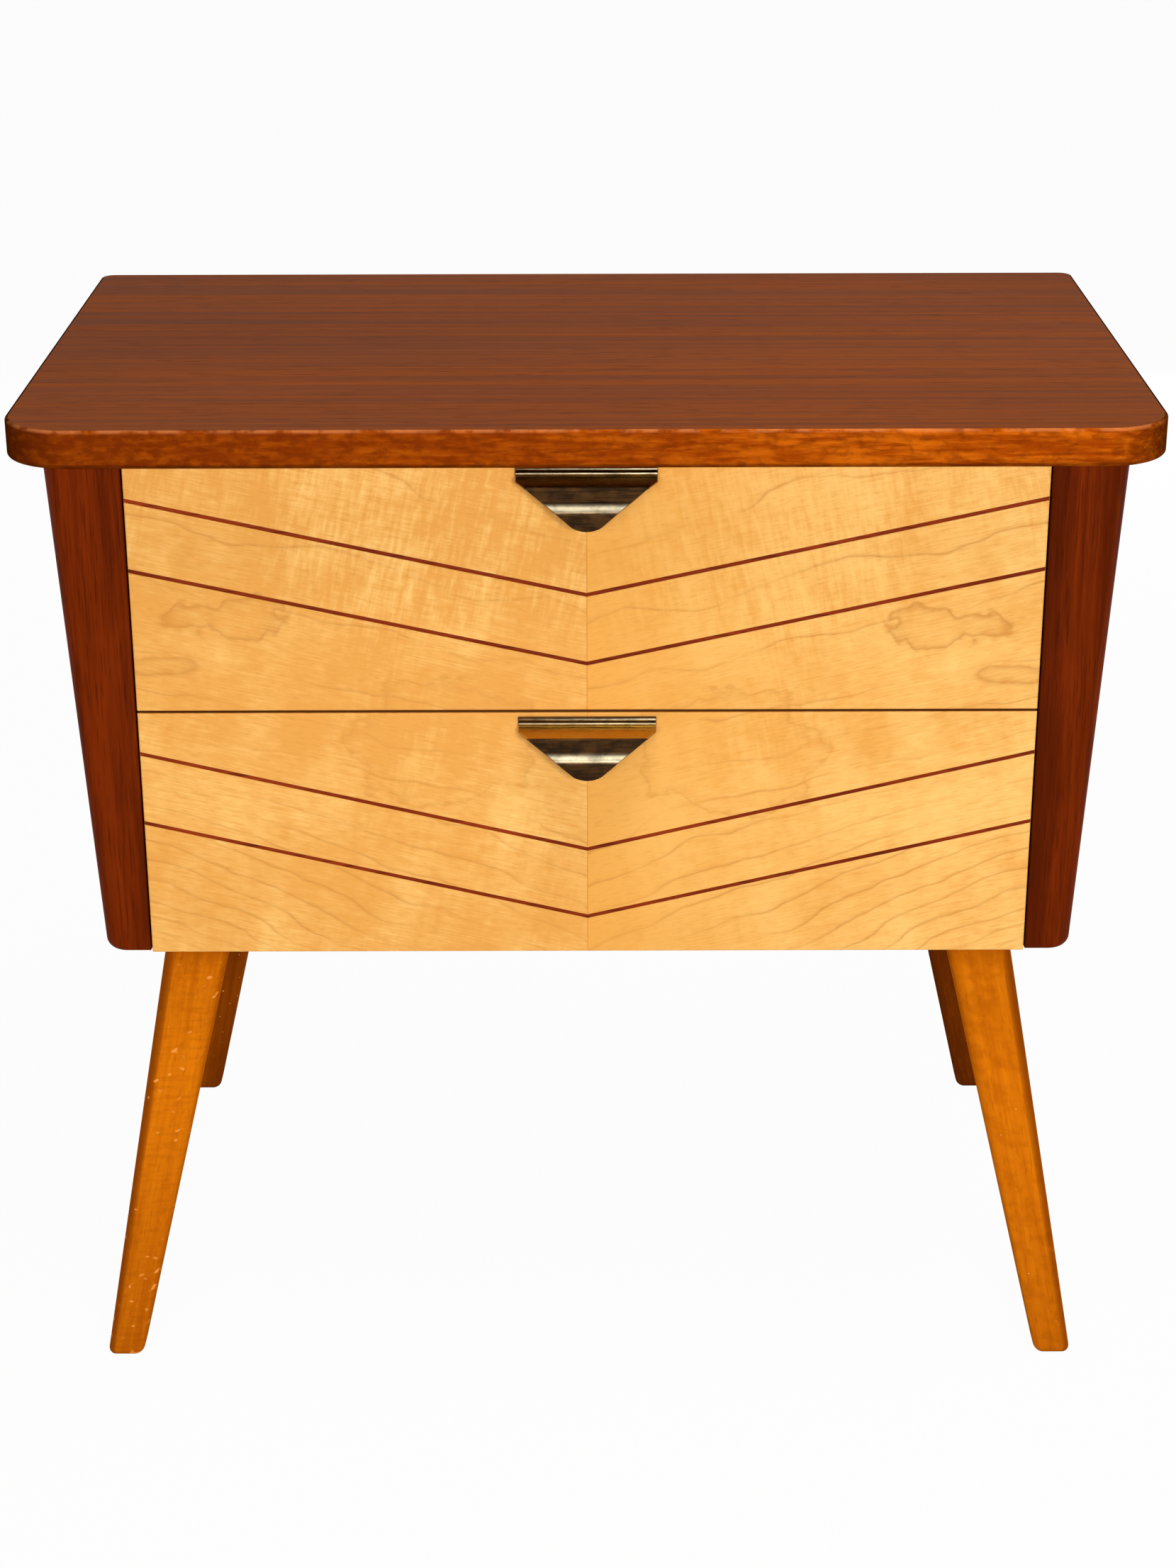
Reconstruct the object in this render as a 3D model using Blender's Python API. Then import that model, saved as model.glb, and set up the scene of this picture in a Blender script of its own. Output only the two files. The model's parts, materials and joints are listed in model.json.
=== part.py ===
"""A bedside cabinet with two strung maple drawers between tapered sides, on four splayed legs.

Units are metres, +Z is up and the front faces -Y. The origin is on the floor, under the middle of
the top. Left and right are as seen from the front.
"""
import math
from dataclasses import dataclass

import bmesh
import bpy
from mathutils import Vector

# The top
TOP_WIDTH = 0.600
TOP_DEPTH = 0.365
TOP_THICKNESS = 0.020
TOP_FRONT_CORNER_RADIUS = 0.035
TOP_BACK_CORNER_RADIUS = 0.008
TOP_EDGE_ROUND = 0.0018

# How the case stands under the top
LEG_HEIGHT = 0.252
CASE_HEIGHT = 0.286
SIDE_OVERHANG = 0.0166
FRONT_OVERHANG = 0.031
BACK_OVERHANG = 0.005

# Side panels, thicker at the top than at the bottom
SIDE_TOP_THICKNESS = 0.041
SIDE_BOTTOM_THICKNESS = 0.0245
SIDE_FOOT_RADIUS = 0.007
SIDE_FRONT_ROUND = 0.006

# Boards that tie the sides together
BOTTOM_THICKNESS = 0.016
BOTTOM_TONGUE_LENGTH = 0.006
BOTTOM_TONGUE_THICKNESS = 0.008
BACK_THICKNESS = 0.004
BACK_REBATE_WIDTH = 0.007
TOP_RAIL_THICKNESS = 0.018
TOP_RAIL_WIDTH = 0.050
TOP_RAIL_HOUSING = 0.008

# Legs
LEG_TOP_SIZE = 0.0366
LEG_FOOT_SIZE = 0.0204
LEG_CORNER_RADIUS = 0.006
LEG_FOOT_ROUND = 0.003
LEG_SPLAY = math.radians(11.55)
LEG_INSET_SIDE = 0.0485
LEG_INSET_FRONT = 0.0443
LEG_INSET_BACK = 0.061
BACK_LEG_TUCK = 0.007
BASE_RAIL_WIDTH = 0.022
BASE_RAIL_HEIGHT = 0.022

# Drawers
DRAWER_SIDE_GAP = 0.001
DRAWER_REVEAL = 0.0015
FRONT_THICKNESS = 0.018
BOX_UNDER_CLEARANCE = 0.005
BOX_OVER_CLEARANCE = 0.0037
BOX_SIDE_THICKNESS = 0.012
BOX_BACK_THICKNESS = 0.010
BOX_BACK_SETBACK = 0.008
BOX_BACK_DADO = 0.005
BOX_END_GAP = 0.010
BOX_BOTTOM_THICKNESS = 0.004
BOX_BOTTOM_LIFT = 0.009
BOX_BOTTOM_GROOVE = 0.005

# Dovetails that hold the drawer sides to the drawer front
TAIL_COUNT = 3
TAIL_LENGTH = 0.011
TAIL_NECK = 0.018
TAIL_FLARE = math.radians(9)

# Runners that the drawers hang on
RUNNER_HEIGHT = 0.012
RUNNER_WIDTH = 0.0075
RUNNER_LIFT = 0.052
RUNNER_FRONT_STOP = 0.014
RUNNER_END_GAP = 0.001
RUNNER_BACK_SETBACK = 0.012
RUNNER_SIDE_PLAY = 0.0005
RUNNER_UNDER_PLAY = 0.0006

# Dark strings let into the drawer fronts, meeting in a V on the centre line
STRING_WIDTH = 0.0020
STRING_DEPTH = 0.0015
UPPER_STRING_HEIGHTS = (0.0265, 0.0650)
LOWER_STRING_HEIGHTS = (0.0214, 0.0618)
UPPER_STRING_PITCH = math.radians(12.25)
LOWER_STRING_PITCH = math.radians(13.2)

# Pulls, a sheet flange that turns out and down into a hood with a V-shaped apron
PULL_WIDTH = 0.074
PULL_HEIGHT = 0.031
PULL_PROJECTION = 0.017
PULL_SHEET = 0.0016
PULL_FLANGE_HEIGHT = 0.006
PULL_BEND_RADIUS = 0.0016
PULL_SHOULDER_DROP = 0.0085
PULL_TIP_WIDTH = 0.010
PULL_TIP_ROUND = 0.002
PULL_SQUARENESS = 2.8
PULL_POST_RADIUS = 0.0025
PULL_POST_LENGTH = 0.010
PULL_POST_SPREAD = 0.048
UPPER_PULL_DROP = 0.006
LOWER_PULL_DROP = 0.002

# Screw positions, and how much wood is left past each point
TOP_SCREW_INSET = 0.090
TOP_SCREW_COVER = 0.008
LEG_SCREW_BITE = 0.032
RUNNER_SCREW_INSET = 0.045
RUNNER_SCREW_COVER = 0.008
BACK_SCREW_INSET = 0.080
BACK_SCREW_BITE = 0.016
BASE_SCREW_COVER = 0.005
PULL_SCREW_BITE = 0.007

# Clearances, and the fineness of round stretches
FIT_GAP = 0.0003
OVERSHOOT = 0.002
ARC_STEPS = 6
EDGE_STEPS = 3
HOOD_STEPS = 12
ROUND_SIDES = 14
SMOOTH_ANGLE = math.radians(32)

# Places worked out from the sizes above
CASE_FRONT = -TOP_DEPTH / 2 + FRONT_OVERHANG
CASE_BACK = TOP_DEPTH / 2 - BACK_OVERHANG
CASE_BOTTOM = LEG_HEIGHT
CASE_TOP = CASE_BOTTOM + CASE_HEIGHT
HALF_OPENING = TOP_WIDTH / 2 - SIDE_OVERHANG - SIDE_TOP_THICKNESS
BOTTOM_HALF_WIDTH = HALF_OPENING + SIDE_BOTTOM_THICKNESS
BACK_FACE = CASE_BACK - BACK_THICKNESS
STOP_FACE = CASE_FRONT + FRONT_THICKNESS + FIT_GAP
TOP_RAIL_BOTTOM = CASE_TOP - FIT_GAP - TOP_RAIL_THICKNESS
TOP_RAIL_SPANS = {
    "front": (STOP_FACE, STOP_FACE + TOP_RAIL_WIDTH),
    "back": (BACK_FACE - FIT_GAP - TOP_RAIL_WIDTH, BACK_FACE - FIT_GAP),
}
FRONT_HEIGHT = (CASE_HEIGHT - 2 * DRAWER_REVEAL) / 2
FRONT_HALF_WIDTH = HALF_OPENING - DRAWER_SIDE_GAP
BOX_HALF_WIDTH = FRONT_HALF_WIDTH - BOX_SIDE_THICKNESS
BOX_LENGTH = BACK_FACE - BOX_END_GAP - CASE_FRONT
BOX_LIFT = BOTTOM_THICKNESS + BOX_UNDER_CLEARANCE
BOX_TOP = FRONT_HEIGHT + DRAWER_REVEAL - FIT_GAP - TOP_RAIL_THICKNESS - BOX_OVER_CLEARANCE
BOX_HEIGHT = BOX_TOP - BOX_LIFT
BOX_BOTTOM_LEVEL = BOX_LIFT + BOX_BOTTOM_LIFT
BOX_BOTTOM_HALF_WIDTH = BOX_HALF_WIDTH + BOX_BOTTOM_GROOVE - FIT_GAP
GROOVE_DEPTH = RUNNER_WIDTH - DRAWER_SIDE_GAP + RUNNER_SIDE_PLAY
GROOVE_FRONT = FRONT_THICKNESS + RUNNER_FRONT_STOP
RUNNER_LEVEL = BOX_LIFT + RUNNER_LIFT
RUNNER_FRONT = CASE_FRONT + GROOVE_FRONT + RUNNER_END_GAP
RUNNER_BACK = CASE_FRONT + BOX_LENGTH - RUNNER_BACK_SETBACK

SIDES = {"left": -1, "right": 1}
DRAWER_BOTTOMS = {"lower": CASE_BOTTOM, "upper": CASE_BOTTOM + FRONT_HEIGHT + DRAWER_REVEAL}


@dataclass(frozen=True)
class Screw:
    """A plain-shanked countersunk screw, measured along its axis from the face it is driven into."""

    length: float
    shank_radius: float
    head_radius: float
    head_height: float
    point_length: float = 0.003
    point_radius: float = 0.0004

    def stations(self):
        """Returns the (distance, radius) pairs that the screw is turned from."""
        return [
            (FIT_GAP, self.head_radius),
            (self.head_height, self.shank_radius),
            (self.length - self.point_length, self.shank_radius),
            (self.length, self.point_radius),
        ]

    def hole_stations(self):
        """Returns the same pairs for the hole that clears the screw all round."""
        rim = self.head_radius + FIT_GAP
        shank = self.shank_radius + FIT_GAP
        return [
            (-OVERSHOOT, rim),
            (2 * FIT_GAP, rim),
            (self.head_height + FIT_GAP, shank),
            (self.length + FIT_GAP, shank),
        ]


TOP_SCREW = Screw(
    length=TOP_RAIL_THICKNESS + TOP_THICKNESS - TOP_SCREW_COVER,
    shank_radius=0.0020,
    head_radius=0.0040,
    head_height=0.0026,
)
LEG_SCREW = Screw(
    length=BOTTOM_THICKNESS + LEG_SCREW_BITE,
    shank_radius=0.0030,
    head_radius=0.0058,
    head_height=0.0036,
)
RUNNER_SCREW = Screw(
    length=RUNNER_WIDTH + SIDE_BOTTOM_THICKNESS - RUNNER_SCREW_COVER,
    shank_radius=0.0015,
    head_radius=0.0031,
    head_height=0.0020,
)
BACK_SCREW = Screw(
    length=BACK_THICKNESS + BACK_SCREW_BITE,
    shank_radius=0.0014,
    head_radius=0.0029,
    head_height=0.0018,
)
BASE_SCREW = Screw(
    length=BASE_RAIL_HEIGHT + BOTTOM_THICKNESS - BASE_SCREW_COVER,
    shank_radius=0.0020,
    head_radius=0.0040,
    head_height=0.0026,
)
PULL_SCREW = Screw(
    length=FRONT_THICKNESS - PULL_POST_LENGTH + PULL_SCREW_BITE,
    shank_radius=0.0014,
    head_radius=0.0029,
    head_height=0.0018,
)


def clear_scene():
    """Removes whatever the open file holds."""
    for item in list(bpy.data.objects):
        bpy.data.objects.remove(item, do_unlink=True)


def linear(level):
    """Turns one 0 to 255 screen level into the linear value that a shader takes."""
    share = level / 255
    return share / 12.92 if share <= 0.04045 else ((share + 0.055) / 1.055) ** 2.4


def make_material(name, colour, roughness, metallic=0.0):
    """Makes a Principled material from a screen colour."""
    material = bpy.data.materials.new(name)
    material.use_nodes = True
    shader = material.node_tree.nodes["Principled BSDF"]
    shader.inputs["Base Color"].default_value = (*(linear(level) for level in colour), 1.0)
    shader.inputs["Roughness"].default_value = roughness
    shader.inputs["Metallic"].default_value = metallic
    return material


def make_materials():
    """Returns the finishes by name."""
    return {
        "mahogany": make_material("mahogany", (112, 50, 22), 0.38),
        "maple": make_material("maple", (240, 184, 104), 0.34),
        "string": make_material("string", (96, 30, 10), 0.45),
        "leg_beech": make_material("leg_beech", (192, 102, 22), 0.36),
        "drawer_beech": make_material("drawer_beech", (214, 176, 126), 0.60),
        "plywood": make_material("plywood", (198, 160, 112), 0.65),
        "brass": make_material("brass", (128, 96, 48), 0.28, 1.0),
        "steel": make_material("steel", (150, 146, 138), 0.40, 1.0),
    }


def box_rings(low, high):
    """Returns the two rings of a box, at its lowest and highest Z."""
    corners = [(low[0], low[1]), (high[0], low[1]), (high[0], high[1]), (low[0], high[1])]
    return [[(x, y, z) for x, y in corners] for z in (low[2], high[2])]


def prism_rings(outline, axis, start, end):
    """Returns the two rings of an outline in the other two axes, carried along one axis."""
    rings = []
    for along in (start, end):
        rings.append([(*point[:axis], along, *point[axis:]) for point in outline])
    return rings


def turned_rings(base, direction, stations):
    """Returns round rings about an axis, one for each (distance, radius) station."""
    axis = Vector(direction).normalized()
    across = axis.orthogonal().normalized()
    beside = axis.cross(across)
    turns = [2 * math.pi * step / ROUND_SIDES for step in range(ROUND_SIDES)]
    rings = []
    for distance, radius in stations:
        centre = Vector(base) + axis * distance
        rings.append([centre + radius * (across * math.cos(t) + beside * math.sin(t)) for t in turns])
    return rings


def arc(centre, radius, start, end, steps):
    """Returns points on an arc in a plane, from one angle to the other."""
    points = []
    for step in range(steps + 1):
        angle = start + (end - start) * step / steps
        points.append((centre[0] + radius * math.cos(angle), centre[1] + radius * math.sin(angle)))
    return points


def rounded_rectangle(half_width, low, high, low_radius, high_radius):
    """Returns a rectangle about X = 0 with one corner radius at its low Y and one at its high Y."""
    quarter = math.pi / 2
    right_low = (half_width - low_radius, low + low_radius)
    right_high = (half_width - high_radius, high - high_radius)
    left_low = (-right_low[0], right_low[1])
    left_high = (-right_high[0], right_high[1])
    return (
        arc(left_low, low_radius, 2 * quarter, 3 * quarter, ARC_STEPS)
        + arc(right_low, low_radius, -quarter, 0, ARC_STEPS)
        + arc(right_high, high_radius, 0, quarter, ARC_STEPS)
        + arc(left_high, high_radius, quarter, 2 * quarter, ARC_STEPS)
    )


def edge_round(radius):
    """Returns (distance from the face, inset) pairs of a quarter-round edge, from the face inward."""
    turns = [math.pi / 2 * step / EDGE_STEPS for step in range(EDGE_STEPS + 1)]
    return [(radius * (1 - math.cos(turn)), radius * (1 - math.sin(turn))) for turn in turns]


def mesh_of(name, bodies):
    """Skins a closed body over each run of rings and returns them as one mesh."""
    shape = bmesh.new()
    for rings in bodies:
        loops = [[shape.verts.new(point) for point in ring] for ring in rings]
        for near, far in zip(loops, loops[1:]):
            for here, after in zip(range(len(near)), [*range(1, len(near)), 0]):
                shape.faces.new((near[here], near[after], far[after], far[here]))
        shape.faces.new(loops[0][::-1])
        shape.faces.new(loops[-1])
    bmesh.ops.recalc_face_normals(shape, faces=shape.faces)
    mesh = bpy.data.meshes.new(name)
    shape.to_mesh(mesh)
    shape.free()
    mesh.shade_smooth()
    mesh.set_sharp_from_angle(angle=SMOOTH_ANGLE)
    return mesh


def add_object(name, bodies, material=None, parent=None):
    """Links a new object made of the given bodies."""
    item = bpy.data.objects.new(name, mesh_of(name, bodies))
    bpy.context.collection.objects.link(item)
    item.parent = parent
    if material:
        item.data.materials.append(material)
    return item


def combine(piece, bodies, operation):
    """Cuts bodies out of a piece, or joins them to it, with a Boolean modifier."""
    tool = add_object(f"{operation.lower()}_{piece.name}", bodies, parent=piece.parent)
    tool.hide_render = True
    tool.display_type = "WIRE"
    modifier = piece.modifiers.new(operation.capitalize(), "BOOLEAN")
    modifier.operation = operation
    modifier.object = tool
    modifier.solver = "EXACT"
    modifier.use_self = True


def add_screw(name, screw, head, direction, material, parent=None):
    """Adds a screw with its head at a point, driven along a direction."""
    add_object(name, [turned_rings(head, direction, screw.stations())], material, parent)


def screw_hole(screw, head, direction):
    """Returns the rings of the hole that a screw needs."""
    return turned_rings(head, direction, screw.hole_stations())


def top_screw_heads():
    """Returns the head centres of the screws that draw the top down onto its rails, by name."""
    reach = HALF_OPENING - TOP_SCREW_INSET
    heads = {}
    for rail, span in TOP_RAIL_SPANS.items():
        for side, sign in SIDES.items():
            heads[f"top_screw_{rail}_{side}"] = (sign * reach, sum(span) / 2, TOP_RAIL_BOTTOM)
    return heads


def leg_axis(side, end, height):
    """Returns the X and Y of a leg's centre line at a height. It leans out both ways going down."""
    lean = (LEG_HEIGHT - height) * math.tan(LEG_SPLAY)
    reach = BOTTOM_HALF_WIDTH - LEG_INSET_SIDE + lean
    if end == "front":
        return SIDES[side] * reach, CASE_FRONT + LEG_INSET_FRONT - lean
    return SIDES[side] * (reach - BACK_LEG_TUCK), CASE_BACK - LEG_INSET_BACK + lean


def leg_size(height):
    """Returns the width of a leg's square section at a height."""
    return LEG_FOOT_SIZE + (LEG_TOP_SIZE - LEG_FOOT_SIZE) * height / LEG_HEIGHT


def leg_screw_heads():
    """Returns the head centres of the screws that hold the legs, by side and end."""
    level = CASE_BOTTOM + BOTTOM_THICKNESS
    places = [(side, end) for side in SIDES for end in TOP_RAIL_SPANS]
    return {place: (*leg_axis(*place, LEG_HEIGHT), level) for place in places}


def base_rail_centre(side):
    """Returns the X of the rail between the front and back legs of one side."""
    return (leg_axis(side, "front", LEG_HEIGHT)[0] + leg_axis(side, "back", LEG_HEIGHT)[0]) / 2


def base_screw_head(side):
    """Returns the head centre of the screw that holds a base rail up to the bottom panel."""
    front = leg_axis(side, "front", LEG_HEIGHT)[1]
    back = leg_axis(side, "back", LEG_HEIGHT)[1]
    return base_rail_centre(side), (front + back) / 2, CASE_BOTTOM - FIT_GAP - BASE_RAIL_HEIGHT


def back_screw_heads():
    """Returns the head centres of the screws round the back panel, by name."""
    levels = {
        "low": CASE_BOTTOM + BOTTOM_THICKNESS / 2,
        "high": TOP_RAIL_BOTTOM + TOP_RAIL_THICKNESS / 2,
    }
    reach = HALF_OPENING - BACK_SCREW_INSET
    heads = {}
    for level, height in levels.items():
        for side, sign in SIDES.items():
            heads[f"back_screw_{level}_{side}"] = (sign * reach, CASE_BACK, height)
    return heads


def runner_screw_heads(drawer, side):
    """Returns the head centres of the two screws of one runner, by their end."""
    x = SIDES[side] * (HALF_OPENING - RUNNER_WIDTH)
    z = DRAWER_BOTTOMS[drawer] + RUNNER_LEVEL + RUNNER_HEIGHT / 2
    return {
        "front": (x, RUNNER_FRONT + RUNNER_SCREW_INSET, z),
        "back": (x, RUNNER_BACK - RUNNER_SCREW_INSET, z),
    }


def build_top(finishes):
    """Builds the top, with round front corners and softened edges, and its screws."""
    heads = top_screw_heads()
    under = [(CASE_TOP + rise, inset) for rise, inset in edge_round(TOP_EDGE_ROUND)]
    over = [(CASE_TOP + TOP_THICKNESS - fall, inset) for fall, inset in edge_round(TOP_EDGE_ROUND)]
    rings = []
    for level, inset in under + over[::-1]:
        outline = rounded_rectangle(
            TOP_WIDTH / 2 - inset,
            -TOP_DEPTH / 2 + inset,
            TOP_DEPTH / 2 - inset,
            TOP_FRONT_CORNER_RADIUS - inset,
            TOP_BACK_CORNER_RADIUS - inset,
        )
        rings.append([(x, y, level) for x, y in outline])
    top = add_object("top_panel", [rings], finishes["mahogany"])
    combine(top, [screw_hole(TOP_SCREW, head, (0, 0, 1)) for head in heads.values()], "DIFFERENCE")
    for name, head in heads.items():
        add_screw(name, TOP_SCREW, head, (0, 0, 1), finishes["steel"])


def side_outline(sign, inset):
    """Returns a side panel's section, with its outer face and foot drawn in by an inset."""
    height = CASE_HEIGHT - FIT_GAP
    lean = math.atan((SIDE_TOP_THICKNESS - SIDE_BOTTOM_THICKNESS) / height)
    foot_x = BOTTOM_HALF_WIDTH + SIDE_FOOT_RADIUS * (math.tan(lean) - 1 / math.cos(lean))
    foot = (foot_x, CASE_BOTTOM + SIDE_FOOT_RADIUS)
    outer_top = HALF_OPENING + SIDE_TOP_THICKNESS - inset / math.cos(lean)
    outline = [(HALF_OPENING, CASE_BOTTOM + inset)]
    outline += arc(foot, SIDE_FOOT_RADIUS - inset, -math.pi / 2, -lean, ARC_STEPS)
    outline += [(outer_top, CASE_BOTTOM + height), (HALF_OPENING, CASE_BOTTOM + height)]
    return [(sign * x, z) for x, z in outline]


def side_cuts(side):
    """Returns the grooves, housings and screw holes of one side panel."""
    sign = SIDES[side]

    def slot(depth, front, back, low, high):
        """Returns a slot let into the inner face."""
        reach = sorted((sign * (HALF_OPENING - OVERSHOOT), sign * (HALF_OPENING + depth)))
        return box_rings((reach[0], front, low), (reach[1], back, high))

    tongue_top = CASE_BOTTOM + BOTTOM_THICKNESS
    tongue_bottom = tongue_top - BOTTOM_TONGUE_THICKNESS
    cuts = [
        slot(
            BACK_REBATE_WIDTH,
            BACK_FACE - FIT_GAP,
            CASE_BACK + OVERSHOOT,
            CASE_BOTTOM - OVERSHOOT,
            CASE_TOP + OVERSHOOT,
        ),
        slot(
            BOTTOM_TONGUE_LENGTH + FIT_GAP,
            STOP_FACE - FIT_GAP,
            BACK_FACE,
            tongue_bottom - FIT_GAP,
            tongue_top + FIT_GAP,
        ),
    ]
    for front, back in TOP_RAIL_SPANS.values():
        cuts.append(
            slot(
                TOP_RAIL_HOUSING + FIT_GAP,
                front - FIT_GAP,
                back + FIT_GAP,
                TOP_RAIL_BOTTOM - FIT_GAP,
                CASE_TOP + OVERSHOOT,
            )
        )
    for drawer in DRAWER_BOTTOMS:
        for head in runner_screw_heads(drawer, side).values():
            cuts.append(screw_hole(RUNNER_SCREW, head, (sign, 0, 0)))
    return cuts


def build_sides(finishes):
    """Builds the two tapered side panels, round on their outer front edge."""
    for side, sign in SIDES.items():
        stations = [(CASE_FRONT + depth, inset) for depth, inset in edge_round(SIDE_FRONT_ROUND)]
        rings = []
        for y, inset in [*stations, (CASE_BACK, 0)]:
            rings.append([(x, y, z) for x, z in side_outline(sign, inset)])
        panel = add_object(f"side_panel_{side}", [rings], finishes["mahogany"])
        combine(panel, side_cuts(side), "DIFFERENCE")


def build_bottom(finishes):
    """Builds the bottom panel, tongued into the sides, with the screws of the legs."""
    top = CASE_BOTTOM + BOTTOM_THICKNESS
    tongue = top - BOTTOM_TONGUE_THICKNESS
    inner = HALF_OPENING - FIT_GAP
    outer = HALF_OPENING + BOTTOM_TONGUE_LENGTH
    right = [(inner, CASE_BOTTOM), (inner, tongue), (outer, tongue), (outer, top)]
    left = [(-x, z) for x, z in right[::-1]]
    body = prism_rings(right + left, 1, STOP_FACE, BACK_FACE - FIT_GAP)
    panel = add_object("bottom_panel", [body], finishes["plywood"])
    cuts = [screw_hole(LEG_SCREW, head, (0, 0, -1)) for head in leg_screw_heads().values()]
    cuts += [screw_hole(BASE_SCREW, base_screw_head(side), (0, 0, 1)) for side in SIDES]
    cuts += [screw_hole(BACK_SCREW, head, (0, -1, 0)) for head in back_screw_heads().values()]
    combine(panel, cuts, "DIFFERENCE")


def build_back(finishes):
    """Builds the plywood back, screwed into the rebates' shoulder boards."""
    heads = back_screw_heads()
    half = HALF_OPENING + BACK_REBATE_WIDTH - FIT_GAP
    body = box_rings((-half, BACK_FACE, CASE_BOTTOM), (half, CASE_BACK, CASE_TOP - FIT_GAP))
    panel = add_object("back_panel", [body], finishes["plywood"])
    combine(panel, [screw_hole(BACK_SCREW, head, (0, -1, 0)) for head in heads.values()], "DIFFERENCE")
    for name, head in heads.items():
        add_screw(name, BACK_SCREW, head, (0, -1, 0), finishes["steel"])


def build_top_rails(finishes):
    """Builds the two rails under the top, housed in the sides."""
    half = HALF_OPENING + TOP_RAIL_HOUSING
    cuts = [screw_hole(TOP_SCREW, head, (0, 0, 1)) for head in top_screw_heads().values()]
    cuts += [screw_hole(BACK_SCREW, head, (0, -1, 0)) for head in back_screw_heads().values()]
    for name, (front, back) in TOP_RAIL_SPANS.items():
        body = box_rings((-half, front, TOP_RAIL_BOTTOM), (half, back, CASE_TOP - FIT_GAP))
        rail = add_object(f"top_rail_{name}", [body], finishes["drawer_beech"])
        combine(rail, cuts, "DIFFERENCE")


def build_legs(finishes):
    """Builds the four tapered legs, cut level at the floor and under the case, and their screws."""
    heads = leg_screw_heads()
    foot = edge_round(LEG_FOOT_ROUND)
    for (side, end), head in heads.items():
        rings = []
        for height, inset in [*foot, (LEG_HEIGHT - FIT_GAP, 0)]:
            x, y = leg_axis(side, end, height)
            half = leg_size(height) / 2 - inset
            radius = LEG_CORNER_RADIUS - inset
            outline = rounded_rectangle(half, -half, half, radius, radius)
            rings.append([(x + dx, y + dy, height) for dx, dy in outline])
        leg = add_object(f"leg_{end}_{side}", [rings], finishes["leg_beech"])
        combine(leg, [screw_hole(LEG_SCREW, head, (0, 0, -1))], "DIFFERENCE")
        add_screw(f"leg_screw_{end}_{side}", LEG_SCREW, head, (0, 0, -1), finishes["steel"])


def build_base_rails(finishes):
    """Builds the rail between the legs of each side, with ends cut to the legs' lean."""
    top = CASE_BOTTOM - FIT_GAP
    for side in SIDES:
        middle = base_rail_centre(side)
        edges = (middle - BASE_RAIL_WIDTH / 2, middle + BASE_RAIL_WIDTH / 2)
        rings = []
        for height in (top - BASE_RAIL_HEIGHT, top):
            reach = leg_size(height) / 2 + FIT_GAP
            front = leg_axis(side, "front", height)[1] + reach
            back = leg_axis(side, "back", height)[1] - reach
            corners = [(edges[0], front), (edges[1], front), (edges[1], back), (edges[0], back)]
            rings.append([(x, y, height) for x, y in corners])
        head = base_screw_head(side)
        rail = add_object(f"base_rail_{side}", [rings], finishes["leg_beech"])
        combine(rail, [screw_hole(BASE_SCREW, head, (0, 0, 1))], "DIFFERENCE")
        add_screw(f"base_screw_{side}", BASE_SCREW, head, (0, 0, 1), finishes["steel"])


def build_runners(finishes):
    """Builds the four strips that the drawers hang on, each screwed to a side panel."""
    for drawer, bottom in DRAWER_BOTTOMS.items():
        low = bottom + RUNNER_LEVEL
        for side, sign in SIDES.items():
            reach = sorted((sign * (HALF_OPENING - RUNNER_WIDTH), sign * (HALF_OPENING - FIT_GAP)))
            body = box_rings((reach[0], RUNNER_FRONT, low), (reach[1], RUNNER_BACK, low + RUNNER_HEIGHT))
            runner = add_object(f"runner_{drawer}_{side}", [body], finishes["drawer_beech"])
            heads = runner_screw_heads(drawer, side)
            holes = [screw_hole(RUNNER_SCREW, head, (sign, 0, 0)) for head in heads.values()]
            combine(runner, holes, "DIFFERENCE")
            for end, head in heads.items():
                name = f"runner_screw_{drawer}_{side}_{end}"
                add_screw(name, RUNNER_SCREW, head, (sign, 0, 0), finishes["steel"])


def tail_centres():
    """Returns the heights of the dovetails, spread evenly over the drawer side."""
    pitch = BOX_HEIGHT / TAIL_COUNT
    return [BOX_LIFT + pitch * (number + 0.5) for number in range(TAIL_COUNT)]


def tail_half_width(y):
    """Returns half a dovetail's width at a depth behind the drawer's face."""
    return TAIL_NECK / 2 + (FRONT_THICKNESS - y) * math.tan(TAIL_FLARE)


def dovetail_sockets(sign):
    """Returns the sockets that the drawer side's tails need in the drawer front."""
    inner = sign * (BOX_HALF_WIDTH - FIT_GAP)
    outer = sign * (FRONT_HALF_WIDTH + OVERSHOOT)
    bottom = FRONT_THICKNESS - TAIL_LENGTH - FIT_GAP
    mouth = FRONT_THICKNESS + OVERSHOOT
    sockets = []
    for centre in tail_centres():
        outline = []
        for y, edge in ((bottom, -1), (mouth, -1), (mouth, 1), (bottom, 1)):
            outline.append((y, centre + edge * (tail_half_width(y) + FIT_GAP)))
        sockets.append(prism_rings(outline, 0, inner, outer))
    return sockets


def string_rings(height, pitch, margin, proud):
    """Returns the V of one string, or of its groove where a margin and an overshoot are given."""
    half = FRONT_HALF_WIDTH + proud
    rise = half * math.tan(pitch)
    thick = (STRING_WIDTH / 2 + margin) / math.cos(pitch)
    lower = [(-half, height + rise - thick), (0, height - thick), (half, height + rise - thick)]
    upper = [(x, z + 2 * thick) for x, z in lower[::-1]]
    return prism_rings(lower + upper, 1, -proud, STRING_DEPTH + margin)


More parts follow.
